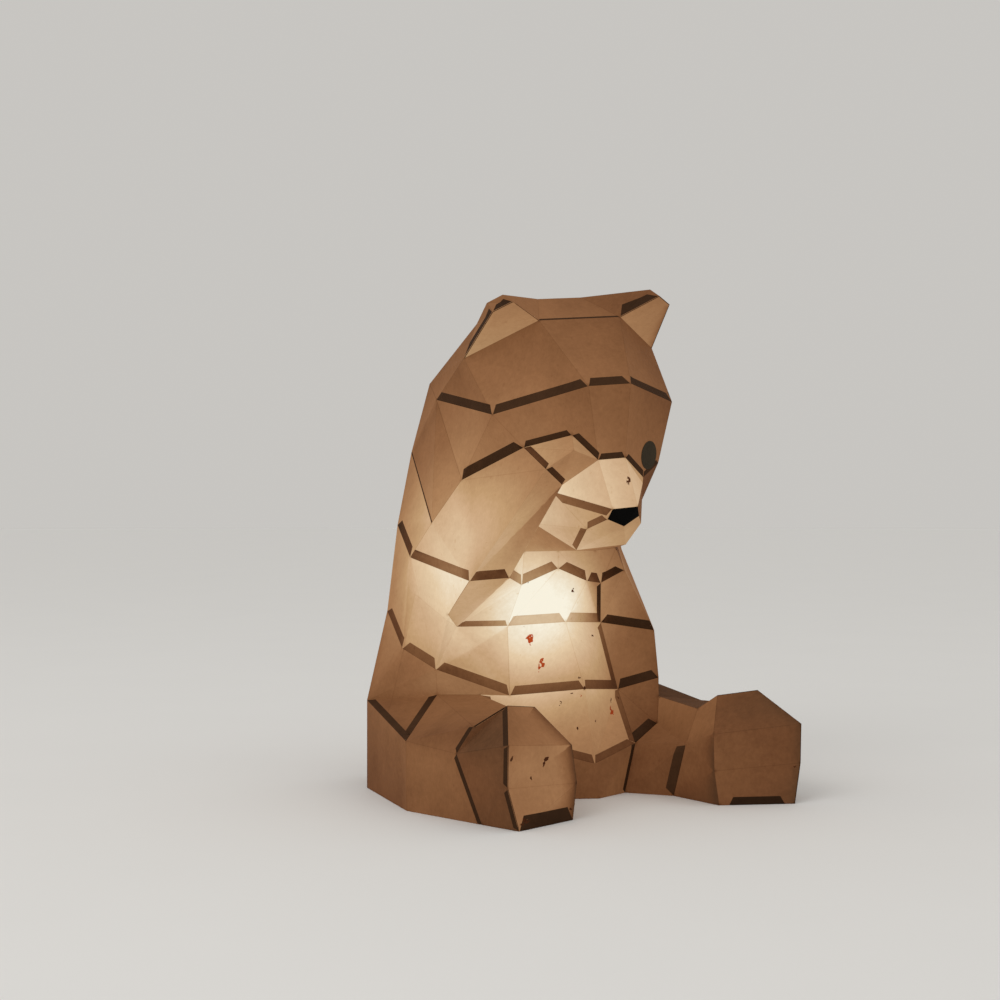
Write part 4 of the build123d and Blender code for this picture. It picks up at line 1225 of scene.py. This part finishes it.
# %% [markdown]
# ## The globe
#
# The opal globe spreads the light of a few diodes on the board at its neck. It is palest round its middle,
# a little warmer at the neck and the crown. Its own light is an emission too, plain enough not to wash out
# the stand.

# %% Opal globe
OPAL = (0.30, 0.28, 0.24)
OPAL_STOPS = [(0.0, (0.50, 0.36, 0.20)), (0.3, (0.86, 0.72, 0.50)), (0.6, (0.92, 0.82, 0.62)),
              (1.0, (0.78, 0.62, 0.40))]

place, shader, opal = new_material("opal_globe")
share = (place.part("XYZ", 2) - bulb_low.z) / (bulb_high.z - bulb_low.z)
tint = (share + 0.06 * (place.noise(120, 3) - 0.5)).ramp(OPAL_STOPS)
haze = place.noise(900, 2)
tone = (1 + 0.05 * (haze - 0.5)).scaled(OPAL)
feed(shader, {"Base Color": tone, "Roughness": 0.22 + 0.1 * haze, "Emission Color": tint,
              "Emission Strength": 1.0, "Normal": haze.bump(0.15, 0.03 * MM)})
print("globe from", round(bulb_low.z / MM, 1), "to", round(bulb_high.z / MM, 1), "mm")

# %% [markdown]
# The solids of the stand and the eye are shown as they are, so each only gets its finish in its material
# slots. The print names any node that was forgotten.

# %% Dress the solids
FINISHES = {
    "base_pad": foam, "base_plate": zinc, "base_screws": zinc, "base_cup": paint, "ballast": iron,
    "cord_bush": black_plastic, "stem_tube": pipe, "stem_nuts": zinc, "holder_cap": black_plastic,
    "holder_shell": black_plastic, "holder_core": porcelain, "screw_shell": brass, "centre_contact": brass,
    "switch_frame": black_plastic, "switch_rocker": black_plastic, "bulb_tip": brass, "bulb_cap": nickel,
    "bulb_housing": white_plastic, "led_board": board, "bulb_globe": opal, "left_eye": eye_card}
for name, material in FINISHES.items():
    for place in frame["nodes"][name].material_slots:
        place.material = material
print("solids dressed", len(FINISHES), "left over", set(frame["nodes"]) - set(FINISHES) - set(sheets))

# %% [markdown]
# ## The stage
#
# A pale floor, an even sky for most of the light, and one large soft panel beside the camera. The sky that
# the camera sees has the tone of the lit floor, so that the horizon fades away.

# %% Stage
FLOOR_TONE = (0.80, 0.79, 0.77)
FLOOR_RADIUS = 14
FLOOR_SIDES = 96
BACKDROP = (0.575, 0.56, 0.535)
SKY_STRENGTH = 0.9

floor_mesh = bpy.data.meshes.new("floor")
build = bmesh.new()
bmesh.ops.create_circle(build, cap_ends=True, segments=FLOOR_SIDES, radius=FLOOR_RADIUS)
build.to_mesh(floor_mesh)
build.free()
floor = add_object("floor", floor_mesh)
place, shader, floor_material = new_material("pale_floor")
tone = (1 + 0.02 * (place.noise(6, 2) - 0.5)).scaled(FLOOR_TONE)
feed(shader, {"Base Color": tone, "Roughness": 0.9, "Specular IOR Level": 0.1})
floor_mesh.materials.append(floor_material)

world = bpy.data.worlds.new("studio")
scene.world = world
world.use_nodes = True
sky = Signal(world.node_tree)
direct = ("Is Camera Ray", "Is Glossy Ray", "Is Transmission Ray")
rays = [sky.make("ShaderNodeLightPath", output=kind) for kind in direct]
straight = rays[0].at_least(rays[1]).at_least(rays[2])
lit = [SKY_STRENGTH * tone for tone in FLOOR_TONE]
colour = straight.colours((*lit, 1), (*BACKDROP, 1))
feed(world.node_tree.nodes["Background"], {"Color": colour, "Strength": 1.0})
print("floor", FLOOR_TONE, "backdrop", BACKDROP)

# %% [markdown]
# One large disk of light beside the camera gives the card a soft direction. It is weak, so that the light
# from within does the rest. The Standard view leaves the colours as they are set.

# %% Soft light and view
KEY_PLACE = Vector((-2.4, -1.2, 2.2))
KEY_TARGET = Vector((0, 0, 0.2))
KEY_SIZE = 2.0
KEY_POWER = 20

key_data = bpy.data.lights.new("key_panel", "AREA")
key_data.shape = "DISK"
key_data.size = KEY_SIZE
key_data.energy = KEY_POWER
key = add_object("key_panel", key_data)
key.location = KEY_PLACE
key.rotation_euler = (KEY_TARGET - KEY_PLACE).to_track_quat("-Z", "Y").to_euler()
scene.view_settings.view_transform = "Standard"
print("key", key_data.energy, "W")

# %% [markdown] ## The end
# The dressed model must stay in the box of the solids.

# %% Finish
print("finished")
